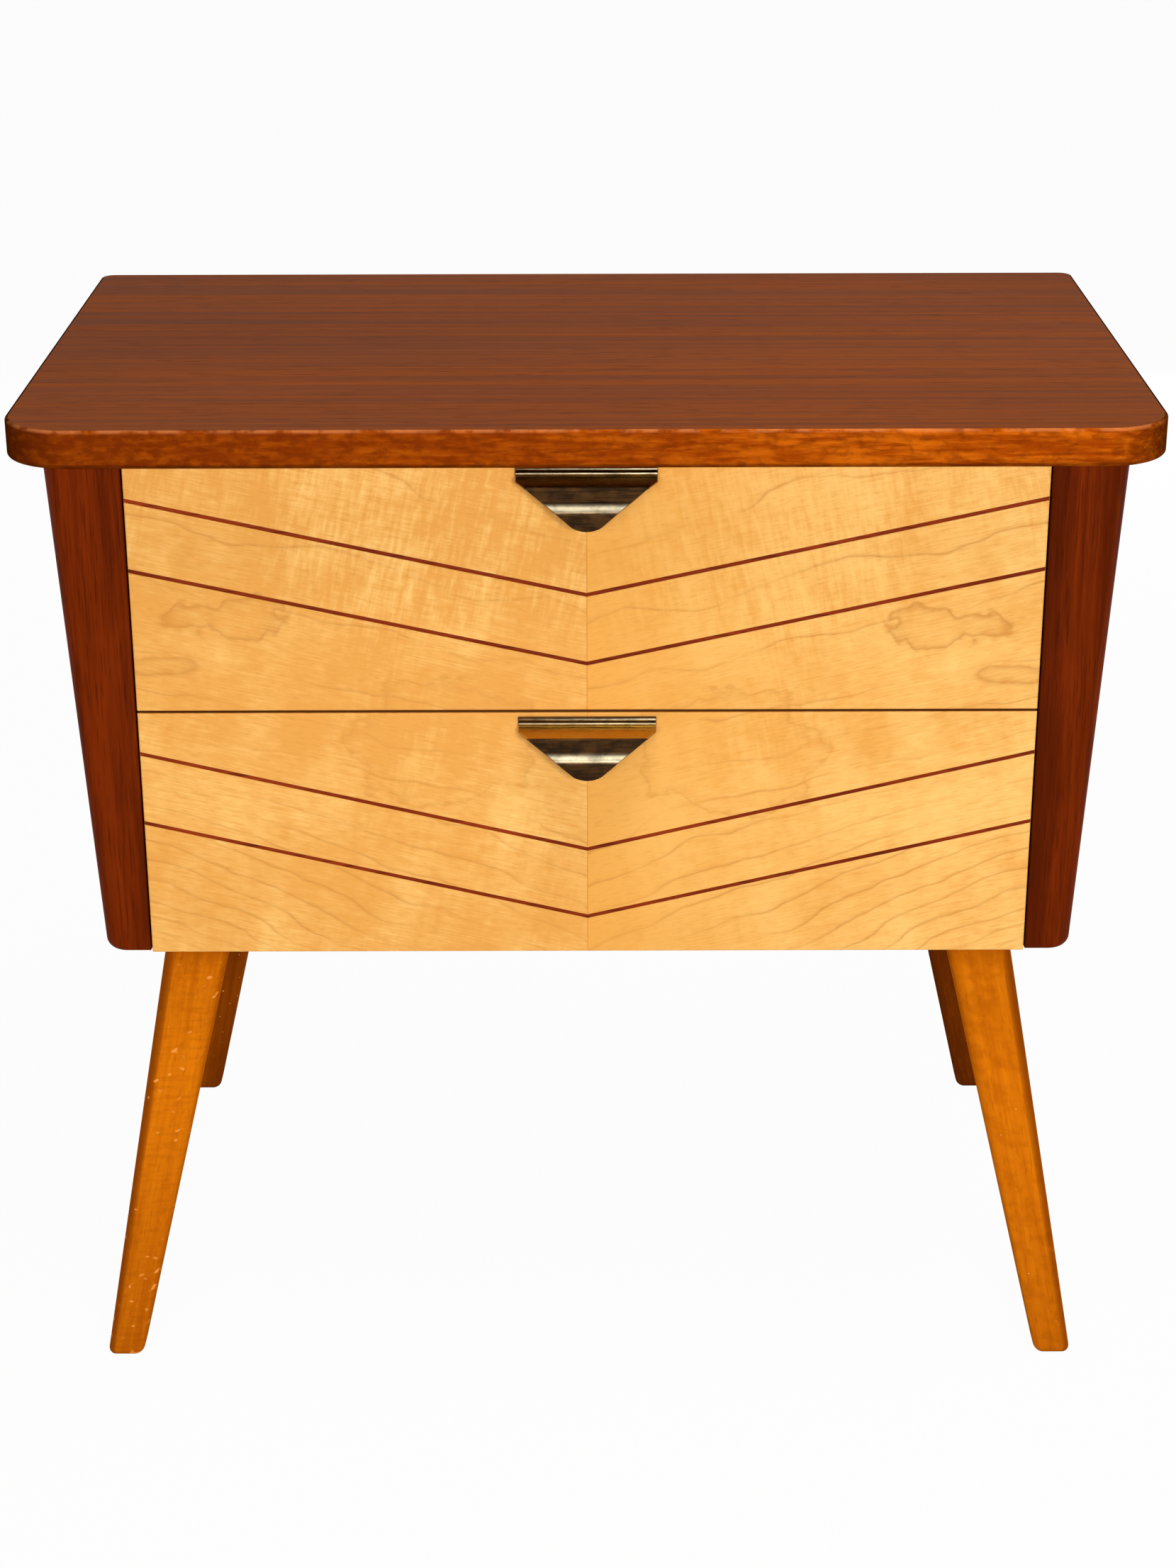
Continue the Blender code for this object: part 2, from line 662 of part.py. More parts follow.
def hood_profile():
    """Returns (projection, drop) points along the middle of a pull's sheet, from its top edge.

    The sheet runs down the drawer's face, bends out, and follows a quarter of a superellipse.
    """
    half = PULL_SHEET / 2
    bend = (half + PULL_BEND_RADIUS, PULL_FLANGE_HEIGHT)
    points = [(half, 0)]
    for projection, drop in arc(bend, PULL_BEND_RADIUS, math.pi, math.pi / 2, EDGE_STEPS):
        points.append((projection, drop))
    start_drop = PULL_FLANGE_HEIGHT + PULL_BEND_RADIUS
    reach = PULL_PROJECTION - half - bend[0]
    fall = PULL_HEIGHT - start_drop
    power = 2 / PULL_SQUARENESS
    for step in range(1, HOOD_STEPS + 1):
        turn = math.pi / 2 * step / HOOD_STEPS
        projection = bend[0] + reach * math.sin(turn) ** power
        drop = start_drop + fall * (1 - max(math.cos(turn), 0) ** power)
        points.append((projection, drop))
    return points


def hood_half_width(drop):
    """Returns half the pull's width at a drop below its top edge."""
    if drop <= PULL_SHOULDER_DROP:
        return PULL_WIDTH / 2
    share = (drop - PULL_SHOULDER_DROP) / (PULL_HEIGHT - PULL_SHOULDER_DROP)
    half = PULL_WIDTH / 2 + (PULL_TIP_WIDTH - PULL_WIDTH) / 2 * share
    return half - max(0, drop - PULL_HEIGHT + PULL_TIP_ROUND) / 2


def build_pull(drawer, drop, finishes, parent):
    """Builds a drawer's pull with two posts behind its flange, and the screws from inside."""
    top = FRONT_HEIGHT - drop
    points = [Vector(point) for point in hood_profile()]
    rings = []
    for number, point in enumerate(points):
        along = points[min(number + 1, len(points) - 1)] - points[max(number - 1, 0)]
        across = Vector((along.y, -along.x)).normalized() * PULL_SHEET / 2
        half = hood_half_width(point.y)
        ring = []
        for edge, end in ((1, -1), (1, 1), (-1, 1), (-1, -1)):
            place = point + across * edge
            ring.append((end * half, -FIT_GAP - place.x, top - place.y))
        rings.append(ring)
    pull = add_object(f"{drawer}_pull", [rings], finishes["brass"], parent)
    level = top - PULL_FLANGE_HEIGHT / 2
    posts = []
    bores = []
    for side, sign in SIDES.items():
        x = sign * PULL_POST_SPREAD / 2
        root = (x, -FIT_GAP - PULL_SHEET / 2, level)
        stations = [(0, PULL_POST_RADIUS), (PULL_SHEET / 2 + FIT_GAP + PULL_POST_LENGTH, PULL_POST_RADIUS)]
        posts.append(turned_rings(root, (0, 1, 0), stations))
        head = (x, FRONT_THICKNESS, level)
        bores.append(screw_hole(PULL_SCREW, head, (0, -1, 0)))
        add_screw(f"{drawer}_pull_screw_{side}", PULL_SCREW, head, (0, -1, 0), finishes["steel"], parent)
    combine(pull, posts, "UNION")
    combine(pull, bores, "DIFFERENCE")


def pull_holes(drop):
    """Returns the holes that a pull's posts and screws need in the drawer front."""
    level = FRONT_HEIGHT - drop - PULL_FLANGE_HEIGHT / 2
    radius = PULL_POST_RADIUS + FIT_GAP
    holes = []
    for sign in SIDES.values():
        x = sign * PULL_POST_SPREAD / 2
        stations = [(-OVERSHOOT, radius), (PULL_POST_LENGTH + FIT_GAP, radius)]
        holes.append(turned_rings((x, 0, level), (0, 1, 0), stations))
        holes.append(screw_hole(PULL_SCREW, (x, FRONT_THICKNESS, level), (0, -1, 0)))
    return holes


def build_front(drawer, heights, pitch, drop, finishes, parent):
    """Builds a drawer front with its dovetail sockets, grooves and holes, and its two strings."""
    body = box_rings((-FRONT_HALF_WIDTH, 0, 0), (FRONT_HALF_WIDTH, FRONT_THICKNESS, FRONT_HEIGHT))
    front = add_object(f"{drawer}_front", [body], finishes["maple"], parent)
    half = BOX_BOTTOM_HALF_WIDTH + FIT_GAP
    cuts = [
        box_rings(
            (-half, FRONT_THICKNESS - BOX_BOTTOM_GROOVE, BOX_BOTTOM_LEVEL - FIT_GAP),
            (half, FRONT_THICKNESS + OVERSHOOT, BOX_BOTTOM_LEVEL + BOX_BOTTOM_THICKNESS + FIT_GAP),
        )
    ]
    for sign in SIDES.values():
        cuts += dovetail_sockets(sign)
    cuts += [string_rings(height, pitch, FIT_GAP, OVERSHOOT) for height in heights]
    combine(front, cuts + pull_holes(drop), "DIFFERENCE")
    for level, height in zip(("low", "high"), heights):
        name = f"{drawer}_string_{level}"
        add_object(name, [string_rings(height, pitch, 0, 0)], finishes["string"], parent)


def box_side_outline():
    """Returns a drawer side's outline in Y and Z, with its dovetails at the front."""
    shoulder = FRONT_THICKNESS + FIT_GAP
    tip = FRONT_THICKNESS - TAIL_LENGTH
    outline = [(BOX_LENGTH, BOX_LIFT), (shoulder, BOX_LIFT)]
    for centre in tail_centres():
        for y, edge in ((shoulder, -1), (tip, -1), (tip, 1), (shoulder, 1)):
            outline.append((y, centre + edge * tail_half_width(y)))
    return [*outline, (shoulder, BOX_TOP), (BOX_LENGTH, BOX_TOP)]


def build_box_sides(drawer, finishes, parent):
    """Builds the two drawer sides, grooved outside for the runner and inside for the other boards."""
    back_end = BOX_LENGTH - BOX_BACK_SETBACK
    for side, sign in SIDES.items():
        body = prism_rings(box_side_outline(), 0, sign * BOX_HALF_WIDTH, sign * FRONT_HALF_WIDTH)
        board = add_object(f"{drawer}_side_{side}", [body], finishes["drawer_beech"], parent)

        def slot(start, end, front, back, low, high):
            """Returns a slot between two distances from the drawer's middle."""
            reach = sorted((sign * start, sign * end))
            return box_rings((reach[0], front, low), (reach[1], back, high))

        combine(
            board,
            [
                slot(
                    FRONT_HALF_WIDTH - GROOVE_DEPTH,
                    FRONT_HALF_WIDTH + OVERSHOOT,
                    GROOVE_FRONT,
                    BOX_LENGTH + OVERSHOOT,
                    RUNNER_LEVEL - RUNNER_UNDER_PLAY,
                    RUNNER_LEVEL + RUNNER_HEIGHT + FIT_GAP,
                ),
                slot(
                    BOX_HALF_WIDTH - OVERSHOOT,
                    BOX_HALF_WIDTH + BOX_BOTTOM_GROOVE,
                    0,
                    BOX_LENGTH + OVERSHOOT,
                    BOX_BOTTOM_LEVEL - FIT_GAP,
                    BOX_BOTTOM_LEVEL + BOX_BOTTOM_THICKNESS + FIT_GAP,
                ),
                slot(
                    BOX_HALF_WIDTH - OVERSHOOT,
                    BOX_HALF_WIDTH + BOX_BACK_DADO,
                    back_end - BOX_BACK_THICKNESS - FIT_GAP,
                    back_end + FIT_GAP,
                    BOX_BOTTOM_LEVEL,
                    BOX_TOP + OVERSHOOT,
                ),
            ],
            "DIFFERENCE",
        )


def build_box_back_and_bottom(drawer, finishes, parent):
    """Builds the drawer's back, let into its sides, and the bottom that slides in under it."""
    back_end = BOX_LENGTH - BOX_BACK_SETBACK
    half = BOX_HALF_WIDTH + BOX_BACK_DADO - FIT_GAP
    floor = BOX_BOTTOM_LEVEL + BOX_BOTTOM_THICKNESS
    back = box_rings((-half, back_end - BOX_BACK_THICKNESS, floor + FIT_GAP), (half, back_end, BOX_TOP))
    add_object(f"{drawer}_back", [back], finishes["drawer_beech"], parent)
    front_edge = FRONT_THICKNESS - BOX_BOTTOM_GROOVE + FIT_GAP
    bottom = box_rings(
        (-BOX_BOTTOM_HALF_WIDTH, front_edge, BOX_BOTTOM_LEVEL),
        (BOX_BOTTOM_HALF_WIDTH, BOX_LENGTH, floor),
    )
    add_object(f"{drawer}_bottom", [bottom], finishes["plywood"], parent)


def build_drawer(drawer, heights, pitch, drop, finishes):
    """Builds one drawer about an empty at the foot of its face, on the line that it slides along."""
    place = bpy.data.objects.new(f"{drawer}_drawer", None)
    bpy.context.collection.objects.link(place)
    place.location = (0, CASE_FRONT, DRAWER_BOTTOMS[drawer])
    build_front(drawer, heights, pitch, drop, finishes, place)
    build_box_sides(drawer, finishes, place)
    build_box_back_and_bottom(drawer, finishes, place)
    build_pull(drawer, drop, finishes, place)


def main():
    """Builds the whole cabinet."""
    clear_scene()
    finishes = make_materials()
    build_top(finishes)
    build_sides(finishes)
    build_bottom(finishes)
    build_back(finishes)
    build_top_rails(finishes)
    build_legs(finishes)
    build_base_rails(finishes)
    build_runners(finishes)
    build_drawer("upper", UPPER_STRING_HEIGHTS, UPPER_STRING_PITCH, UPPER_PULL_DROP, finishes)
    build_drawer("lower", LOWER_STRING_HEIGHTS, LOWER_STRING_PITCH, LOWER_PULL_DROP, finishes)


main()
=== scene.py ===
"""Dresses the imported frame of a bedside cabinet: veneers, strings, brass pulls and splayed legs.

Units are metres in the frame's axes: +X to the right, -Y to the front, +Z up, and the floor is at
Z = 0. Left and right are as seen from the front. Colours are screen colours, with levels from 0 to
255.
"""
import json
import logging
import math
from dataclasses import dataclass, field, replace
from enum import Enum
from typing import Optional, Union

import bmesh
import bpy
import numpy as np
from mathutils import Matrix, Vector


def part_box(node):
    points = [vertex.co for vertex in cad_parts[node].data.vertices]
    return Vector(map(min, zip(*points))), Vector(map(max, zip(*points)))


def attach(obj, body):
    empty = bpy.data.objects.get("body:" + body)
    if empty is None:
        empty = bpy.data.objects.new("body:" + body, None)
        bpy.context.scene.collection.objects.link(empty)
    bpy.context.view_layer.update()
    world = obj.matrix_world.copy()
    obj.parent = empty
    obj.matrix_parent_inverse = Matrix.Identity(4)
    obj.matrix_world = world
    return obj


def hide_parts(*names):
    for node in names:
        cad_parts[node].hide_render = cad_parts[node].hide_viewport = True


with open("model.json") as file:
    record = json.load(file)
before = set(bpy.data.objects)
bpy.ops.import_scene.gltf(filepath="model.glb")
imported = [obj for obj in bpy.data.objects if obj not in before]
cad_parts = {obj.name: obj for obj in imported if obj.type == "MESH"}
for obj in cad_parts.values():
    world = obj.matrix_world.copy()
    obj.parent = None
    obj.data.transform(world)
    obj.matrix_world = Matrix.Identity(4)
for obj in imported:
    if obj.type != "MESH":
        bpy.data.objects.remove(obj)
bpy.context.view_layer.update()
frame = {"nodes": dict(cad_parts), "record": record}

LOG = logging.getLogger("cabinet")

# The point attributes that the finishes read: place in the grain; use, with painted light and
# shade; and painted shade and painted reflection.
GRAIN = "grain"
WEAR_AND_LIGHT = "wear_and_light"
SHADE_AND_REFLECTION = "tone"
# Edges that turn by more than this are sharp.
CREASE = math.radians(34)
QUARTER = math.pi / 2
# The room left between a new piece and what it stands against.
FIT_GAP = 0.0003
# A soft noise's middle, and the range that most of it lies in.
NOISE_MIDDLE = 0.5
NOISE_RANGE = (0.3, 0.7)
# The Mix node's own numbers for the share, both colours and the mixed colour.
MIX_INPUTS = (0, 6, 7)
MIX_RESULT = 2
WHITE = (1.0, 1.0, 1.0, 1.0)
# The side of each corner of a rounded outline, in the order that it runs in.
CORNER_SIDES = np.array([-1, 1, 1, -1])

Colour = tuple[int, int, int]
Span = tuple[float, float]
Triple = tuple[float, float, float]
Socket = bpy.types.NodeSocket
Feed = Union[Socket, float]
Paint = Union[Socket, Colour]


class Axis(Enum):
    """The direction that a board's grain runs in."""

    X = 0
    Y = 1
    Z = 2


class Source(Enum):
    """Where a pattern takes its place from."""

    OBJECT = "the piece's own axes"
    GRAIN = "the grain attribute, which leans with the piece"


class Side(Enum):
    """A side of the cabinet, with the sign of its X."""

    LEFT = -1
    RIGHT = 1

    @property
    def word(self) -> str:
        """The side's name as the frame's nodes have it."""
        return self.name.lower()


class End(Enum):
    """An end of the cabinet, with the sign of its Y."""

    FRONT = -1
    BACK = 1

    @property
    def word(self) -> str:
        """The end's name as the frame's nodes have it."""
        return self.name.lower()


class Drawer(Enum):
    """A drawer, by the word that its nodes start with."""

    UPPER = "upper"
    LOWER = "lower"

    @property
    def body(self) -> str:
        """The body that the drawer's pieces ride on."""
        return f"{self.value}_drawer"


def linear(colour: Colour) -> tuple[float, float, float, float]:
    """Turns a screen colour into the linear colour that a socket takes.

    A share of the full level up to 0.04045 is divided by 12.92. A higher one is
    (share + 0.055) / 1.055, to the power of 2.4.

    Args:
        colour: Three levels from 0 to 255.

    Returns:
        Linear red, green and blue, and full opacity.
    """
    share = np.asarray(colour) / 255.0
    value = np.where(share <= 0.04045, share / 12.92, ((share + 0.055) / 1.055) ** 2.4)
    return (*value.tolist(), 1.0)


class Canvas:
    """A new material's nodes, with one short call for each kind that the finishes use."""

    def __init__(self, name: str) -> None:
        """Starts a material that holds a Principled shader alone.

        Args:
            name: The material's name.
        """
        self.material = bpy.data.materials.new(name)
        self.material.use_nodes = True
        self.tree = self.material.node_tree
        self.shader = self.tree.nodes["Principled BSDF"]

    def feed(self, socket: Socket, value: object) -> None:
        """Links a socket to another one, or sets it to a plain value.

        Args:
            socket: The socket that takes the value.
            value: A socket, a number, a vector or a linear colour.
        """
        if isinstance(value, Socket):
            self.tree.links.new(value, socket)
        else:
            socket.default_value = value

    def add(self, kind: str, **settings: object) -> bpy.types.Node:
        """Adds a node and sets its properties.

        Args:
            kind: The node's type.
            settings: The properties by name.

        Returns:
            The node.
        """
        node = self.tree.nodes.new(kind)
        for key, value in settings.items():
            setattr(node, key, value)
        return node

    def place(self, source: Source) -> Socket:
        """Finds the point at which a pattern is read.

        Args:
            source: Where the pattern takes its place from.

        Returns:
            The place.
        """
        if source is Source.OBJECT:
            return self.add("ShaderNodeTexCoord").outputs["Object"]
        return self.add("ShaderNodeAttribute", attribute_name=GRAIN).outputs["Vector"]

    def held(self, word: str) -> Socket:
        """Returns the number that the mesh holds at each point under a name."""
        return self.add("ShaderNodeAttribute", attribute_name=word).outputs["Fac"]

    def mapped(self, vector: Socket, scale: Triple, turn: float = 0.0,
               shift: float = 0.0) -> Socket:
        """Scales a place by axis, turns it about Y and shifts it equally along the three axes.

        Args:
            vector: The place.
            scale: What each axis is multiplied by, before the turn.
            turn: The angle about Y.
            shift: How far the result is moved, so that patterns of one scale differ.

        Returns:
            The new place.
        """
        node = self.add("ShaderNodeMapping")
        self.feed(node.inputs["Vector"], vector)
        node.inputs["Scale"].default_value = scale
        node.inputs["Rotation"].default_value = (0.0, turn, 0.0)
        node.inputs["Location"].default_value = (shift, shift, shift)
        return node.outputs["Vector"]

    def noise(self, vector: Socket, detail: float, roughness: float) -> Socket:
        """Reads a soft noise with features about one unit long.

        Args:
            vector: The place.
            detail: How many finer layers it has.
            roughness: How much each finer layer counts.

        Returns:
            The noise, mostly between 0.3 and 0.7.
        """
        node = self.add("ShaderNodeTexNoise")
        self.feed(node.inputs["Vector"], vector)
        node.inputs["Scale"].default_value = 1.0
        node.inputs["Detail"].default_value = detail
        node.inputs["Roughness"].default_value = roughness
        return node.outputs[0]

    def math(self, operation: str, first: Feed, second: Feed = 0.0, third: Feed = 0.0) -> Socket:
        """Works out one sum of up to three numbers.

        Args:
            operation: The Math node's operation.
            first: The first number.
            second: The second number.
            third: The third number.

        Returns:
            The result.
        """
        node = self.add("ShaderNodeMath", operation=operation)
        for socket, value in zip(node.inputs, (first, second, third)):
            self.feed(socket, value)
        return node.outputs[0]

    def spread(self, value: Feed, span: Span, onto: Span = (0.0, 1.0)) -> Socket:
        """Carries one range of numbers smoothly onto another and holds it there past the ends.

        Args:
            value: The number.
            span: The range's low and high end.
            onto: What the low and the high end become.

        Returns:
            The number in the new range.
        """
        node = self.add("ShaderNodeMapRange", interpolation_type="SMOOTHSTEP")
        for socket, number in zip(node.inputs, (value, *span, *onto)):
            self.feed(socket, number)
        return node.outputs[0]

    def mix(self, share: Feed, first: Paint, second: Paint) -> Socket:
        """Mixes two colours.

        Args:
            share: The second colour's share.
            first: A socket or a screen colour.
            second: A socket or a screen colour.

        Returns:
            The mixed colour.
        """
        node = self.add("ShaderNodeMix", data_type="RGBA")
        for number, value in zip(MIX_INPUTS, (share, first, second)):
            self.feed(node.inputs[number], linear(value) if isinstance(value, tuple) else value)
        return node.outputs[MIX_RESULT]

    def split(self, vector: Socket) -> tuple[Socket, Socket, Socket]:
        """Takes a place apart.

        Args:
            vector: The place.

        Returns:
            Its X, Y and Z.
        """
        node = self.add("ShaderNodeSeparateXYZ")
        self.feed(node.inputs[0], vector)
        return node.outputs[0], node.outputs[1], node.outputs[2]

    def join(self, x: Feed, y: Feed, z: Feed) -> Socket:
        """Puts a place together.

        Args:
            x: Its X.
            y: Its Y.
            z: Its Z.

        Returns:
            The place.
        """
        node = self.add("ShaderNodeCombineXYZ")
        for socket, value in zip(node.inputs, (x, y, z)):
            self.feed(socket, value)
        return node.outputs[0]

    def surface(self, colour: Socket, roughness: Socket, height: Socket, relief: float) -> None:
        """Gives the shader its colour, its roughness and its bump.

        Args:
            colour: The base colour.
            roughness: The roughness.
            height: The bump's height as a share.
            relief: How high a share of 1 stands.
        """
        bump = self.add("ShaderNodeBump")
        bump.inputs["Strength"].default_value = 1.0
        bump.inputs["Distance"].default_value = relief
        self.feed(bump.inputs["Height"], height)
        self.feed(self.shader.inputs["Base Color"], colour)
        self.feed(self.shader.inputs["Roughness"], roughness)
        self.feed(self.shader.inputs["Normal"], bump.outputs["Normal"])


@dataclass(frozen=True)
class Pattern:
    """A soft noise: how often it varies in a metre of each axis, its start and its roughness."""

    scale: Triple
    shift: float = 0.0
    detail: float = 2.0
    roughness: float = 0.5

    def read(self, canvas: Canvas, place: Socket) -> Socket:
        """Returns the noise at a place."""
        mapped = canvas.mapped(place, self.scale, shift=self.shift)
        return canvas.noise(mapped, self.detail, self.roughness)


@dataclass(frozen=True)
class Timber:
    """A board's wood: soft bands and fine streaks along the grain, with short dark pores.

    The share of the light colour is a weighted sum of three noises. Two are drawn out along the
    grain and the third is an even cloud. Pores are where a fourth, much finer one is high.
    """

    name: str
    light: Colour
    dark: Colour
    pore: Colour
    along: Axis = Axis.X
    source: Source = Source.OBJECT
    bands: float = 26.0
    band_runs: float = 1.4
    streaks: float = 180.0
    streak_runs: float = 5.0
    streak_detail: float = 4.0
    streak_roughness: float = 0.62
    clouds: float = 5.0
    shares: Triple = (0.44, 0.34, 0.22)
    contrast: float = 0.14
    pores: float = 900.0
    pore_runs: float = 40.0
    pore_range: Span = (0.57, 0.70)
    pore_depth: float = 0.6
    roughness: float = 0.45
    roughness_range: Span = (-0.06, 0.08)
    specular: float = 0.3
    relief: float = 0.00010
    streak_relief: float = 0.6

    def drawn_out(self, along: float, across: float) -> Triple:
        """Returns a pattern's scale, with one number along the grain and another across it."""
        return tuple(along if axis is self.along else across for axis in Axis)

    def aged(self, canvas: Canvas, place: Socket, colour: Socket) -> Socket:
        """Returns the colour after use, with any painted light and shade. Plain boards have none.
        """
        return colour

    def material(self) -> bpy.types.Material:
        """Builds the wood's material.

        Returns:
            The material, with colour, roughness and relief from the same pattern.
        """
        canvas = Canvas(self.name)
        place = canvas.place(self.source)
        bands = Pattern(self.drawn_out(self.band_runs, self.bands)).read(canvas, place)
        streaks = Pattern(
            self.drawn_out(self.streak_runs, self.streaks),
            detail=self.streak_detail,
            roughness=self.streak_roughness,
        ).read(canvas, place)
        clouds = Pattern((self.clouds, self.clouds, self.clouds)).read(canvas, place)
        of_bands, of_streaks, of_clouds = self.shares
        share = canvas.math("MULTIPLY", clouds, of_clouds)
        share = canvas.math("MULTIPLY_ADD", streaks, of_streaks, share)
        share = canvas.math("MULTIPLY_ADD", bands, of_bands, share)
        share = canvas.spread(share, (NOISE_MIDDLE - self.contrast, NOISE_MIDDLE + self.contrast))
        pores = Pattern(self.drawn_out(self.pore_runs, self.pores), detail=1.0).read(canvas, place)
        pores = canvas.spread(pores, self.pore_range, (0.0, self.pore_depth))
        colour = canvas.mix(share, self.dark, self.light)
        colour = self.aged(canvas, place, canvas.mix(pores, colour, self.pore))
        smooth, rough = (self.roughness + change for change in self.roughness_range)
        roughness = canvas.spread(streaks, NOISE_RANGE, (smooth, rough))
        height = canvas.math("MULTIPLY", streaks, self.streak_relief)
        height = canvas.math("SUBTRACT", height, pores)
        canvas.surface(colour, roughness, height, self.relief)
        canvas.shader.inputs["Specular IOR Level"].default_value = self.specular
        return canvas.material


@dataclass(frozen=True)
class WornTimber(Timber):
    """Stained wood that is mottled all over and chipped in small specks, with painted light and
    shade.

    Where the wear_and_light attribute is high it takes a second colour, broken up by a noise: on
    the lipping a pale arris from use, partly a painted highlight; on a leg, painted shade along its
    corners and under the case, and darkening towards a front foot. The drift is painted shade: how
    much darker the left end is than the right one, as if lit from the right. It comes in blotches.
    Where the tone attribute is high, the wood takes painted shade, partly a deeper
    stain.
    """

    patch: Colour = (120, 50, 12)
    worn: Colour = (230, 170, 110)
    chip: Colour = (240, 190, 130)
    stain_and_shade: Optional[Colour] = None
    mottle_scale: Triple = (55.0, 55.0, 110.0)
    mottle_range: Span = (0.44, 0.68)
    mottle_depth: float = 0.5
    # Painted shade: the left end darker, in blotches, as if lit from the right.
    drift: float = 0.0
    shade_drift_half: float = 0.3
    blotch_range: Span = (0.36, 0.64)
    blotch_floor: float = 0.74
    rub: float = 0.6
    wear_and_light_from: float = 0.42
    wear_and_light_width: float = 0.2
    wear_and_light_breakup: Pattern = Pattern((70.0, 70.0, 70.0), shift=7.0, detail=3.0, roughness=0.65)
    chips: float = 0.69
    chip_edge: float = 0.04
    chip_scale: Triple = (300.0, 300.0, 420.0)
    clusters: Pattern = Pattern((16.0, 16.0, 11.0), shift=5.0, detail=1.0)
    cluster_share: float = 0.25

    def aged(self, canvas: Canvas, place: Socket, colour: Socket) -> Socket:
        """Mottles the colour, paints shade and light into it where the attributes say, and chips
        it.

        The chips are where a fine noise plus a share of a coarse one is high, so they lie in
        clusters.

        Args:
            canvas: The material's nodes.
            place: The place that the patterns are read at.
            colour: The colour when new.

        Returns:
            The colour after use, with its painted light and shade.
        """
        mottle = Pattern(self.mottle_scale, shift=3.0, detail=3.0, roughness=0.6)
        mottle = mottle.read(canvas, place)
        # Painted shade: the left end is painted darker than the right one, in blotches.
        if self.drift:
            ends = (-self.shade_drift_half, self.shade_drift_half)
            deep = canvas.spread(canvas.split(place)[0], ends, (self.drift, 0.0))
            blotches = canvas.spread(mottle, self.blotch_range, (self.blotch_floor, 1.0))
            colour = canvas.mix(canvas.math("MULTIPLY", deep, blotches), colour, self.patch)
        mottled = canvas.spread(mottle, self.mottle_range, (0.0, self.mottle_depth))
        colour = canvas.mix(mottled, colour, self.patch)
        # Painted shade where the tone attribute is high, partly a deeper stain.
        if self.stain_and_shade:
            colour = canvas.mix(canvas.held(SHADE_AND_REFLECTION), colour, self.stain_and_shade)
        # Painted light and shade, with some use, where the wear_and_light attribute is high.
        wear_and_light_range = (self.wear_and_light_from, self.wear_and_light_from + self.wear_and_light_width)
        broken = canvas.spread(self.wear_and_light_breakup.read(canvas, place), wear_and_light_range, (0.0, self.rub))
        colour = canvas.mix(canvas.math("MULTIPLY", canvas.held(WEAR_AND_LIGHT), broken), colour, self.worn)
        specks = Pattern(self.chip_scale, shift=11.0, detail=1.0).read(canvas, place)
        clusters = self.clusters.read(canvas, place)
        specks = canvas.math("MULTIPLY_ADD", clusters, self.cluster_share, specks)
        start = self.chips + self.cluster_share * NOISE_MIDDLE
        return canvas.mix(canvas.spread(specks, (start, start + self.chip_edge)), colour, self.chip)


@dataclass(frozen=True)
class Loop:
    """A growth ring that closes on itself.

    It has the place of its middle on the leaf, its half sizes, how far it strays from an ellipse,
    and how dark it is.
    """

    out: float
    up: float
    length: float
    width: float
    bend: float
    depth: float


@dataclass(frozen=True)
class Leaf:
    """A point of a veneer leaf, as the sockets that its figure is drawn from.

    It has the distance from the centre seam, the height, 1 on the right leaf and 0 on the left one,
    the point itself, and the point turned with the fibre.
    """

    out: Socket
    up: Socket
    right: Socket
    point: Socket
    turned: Socket


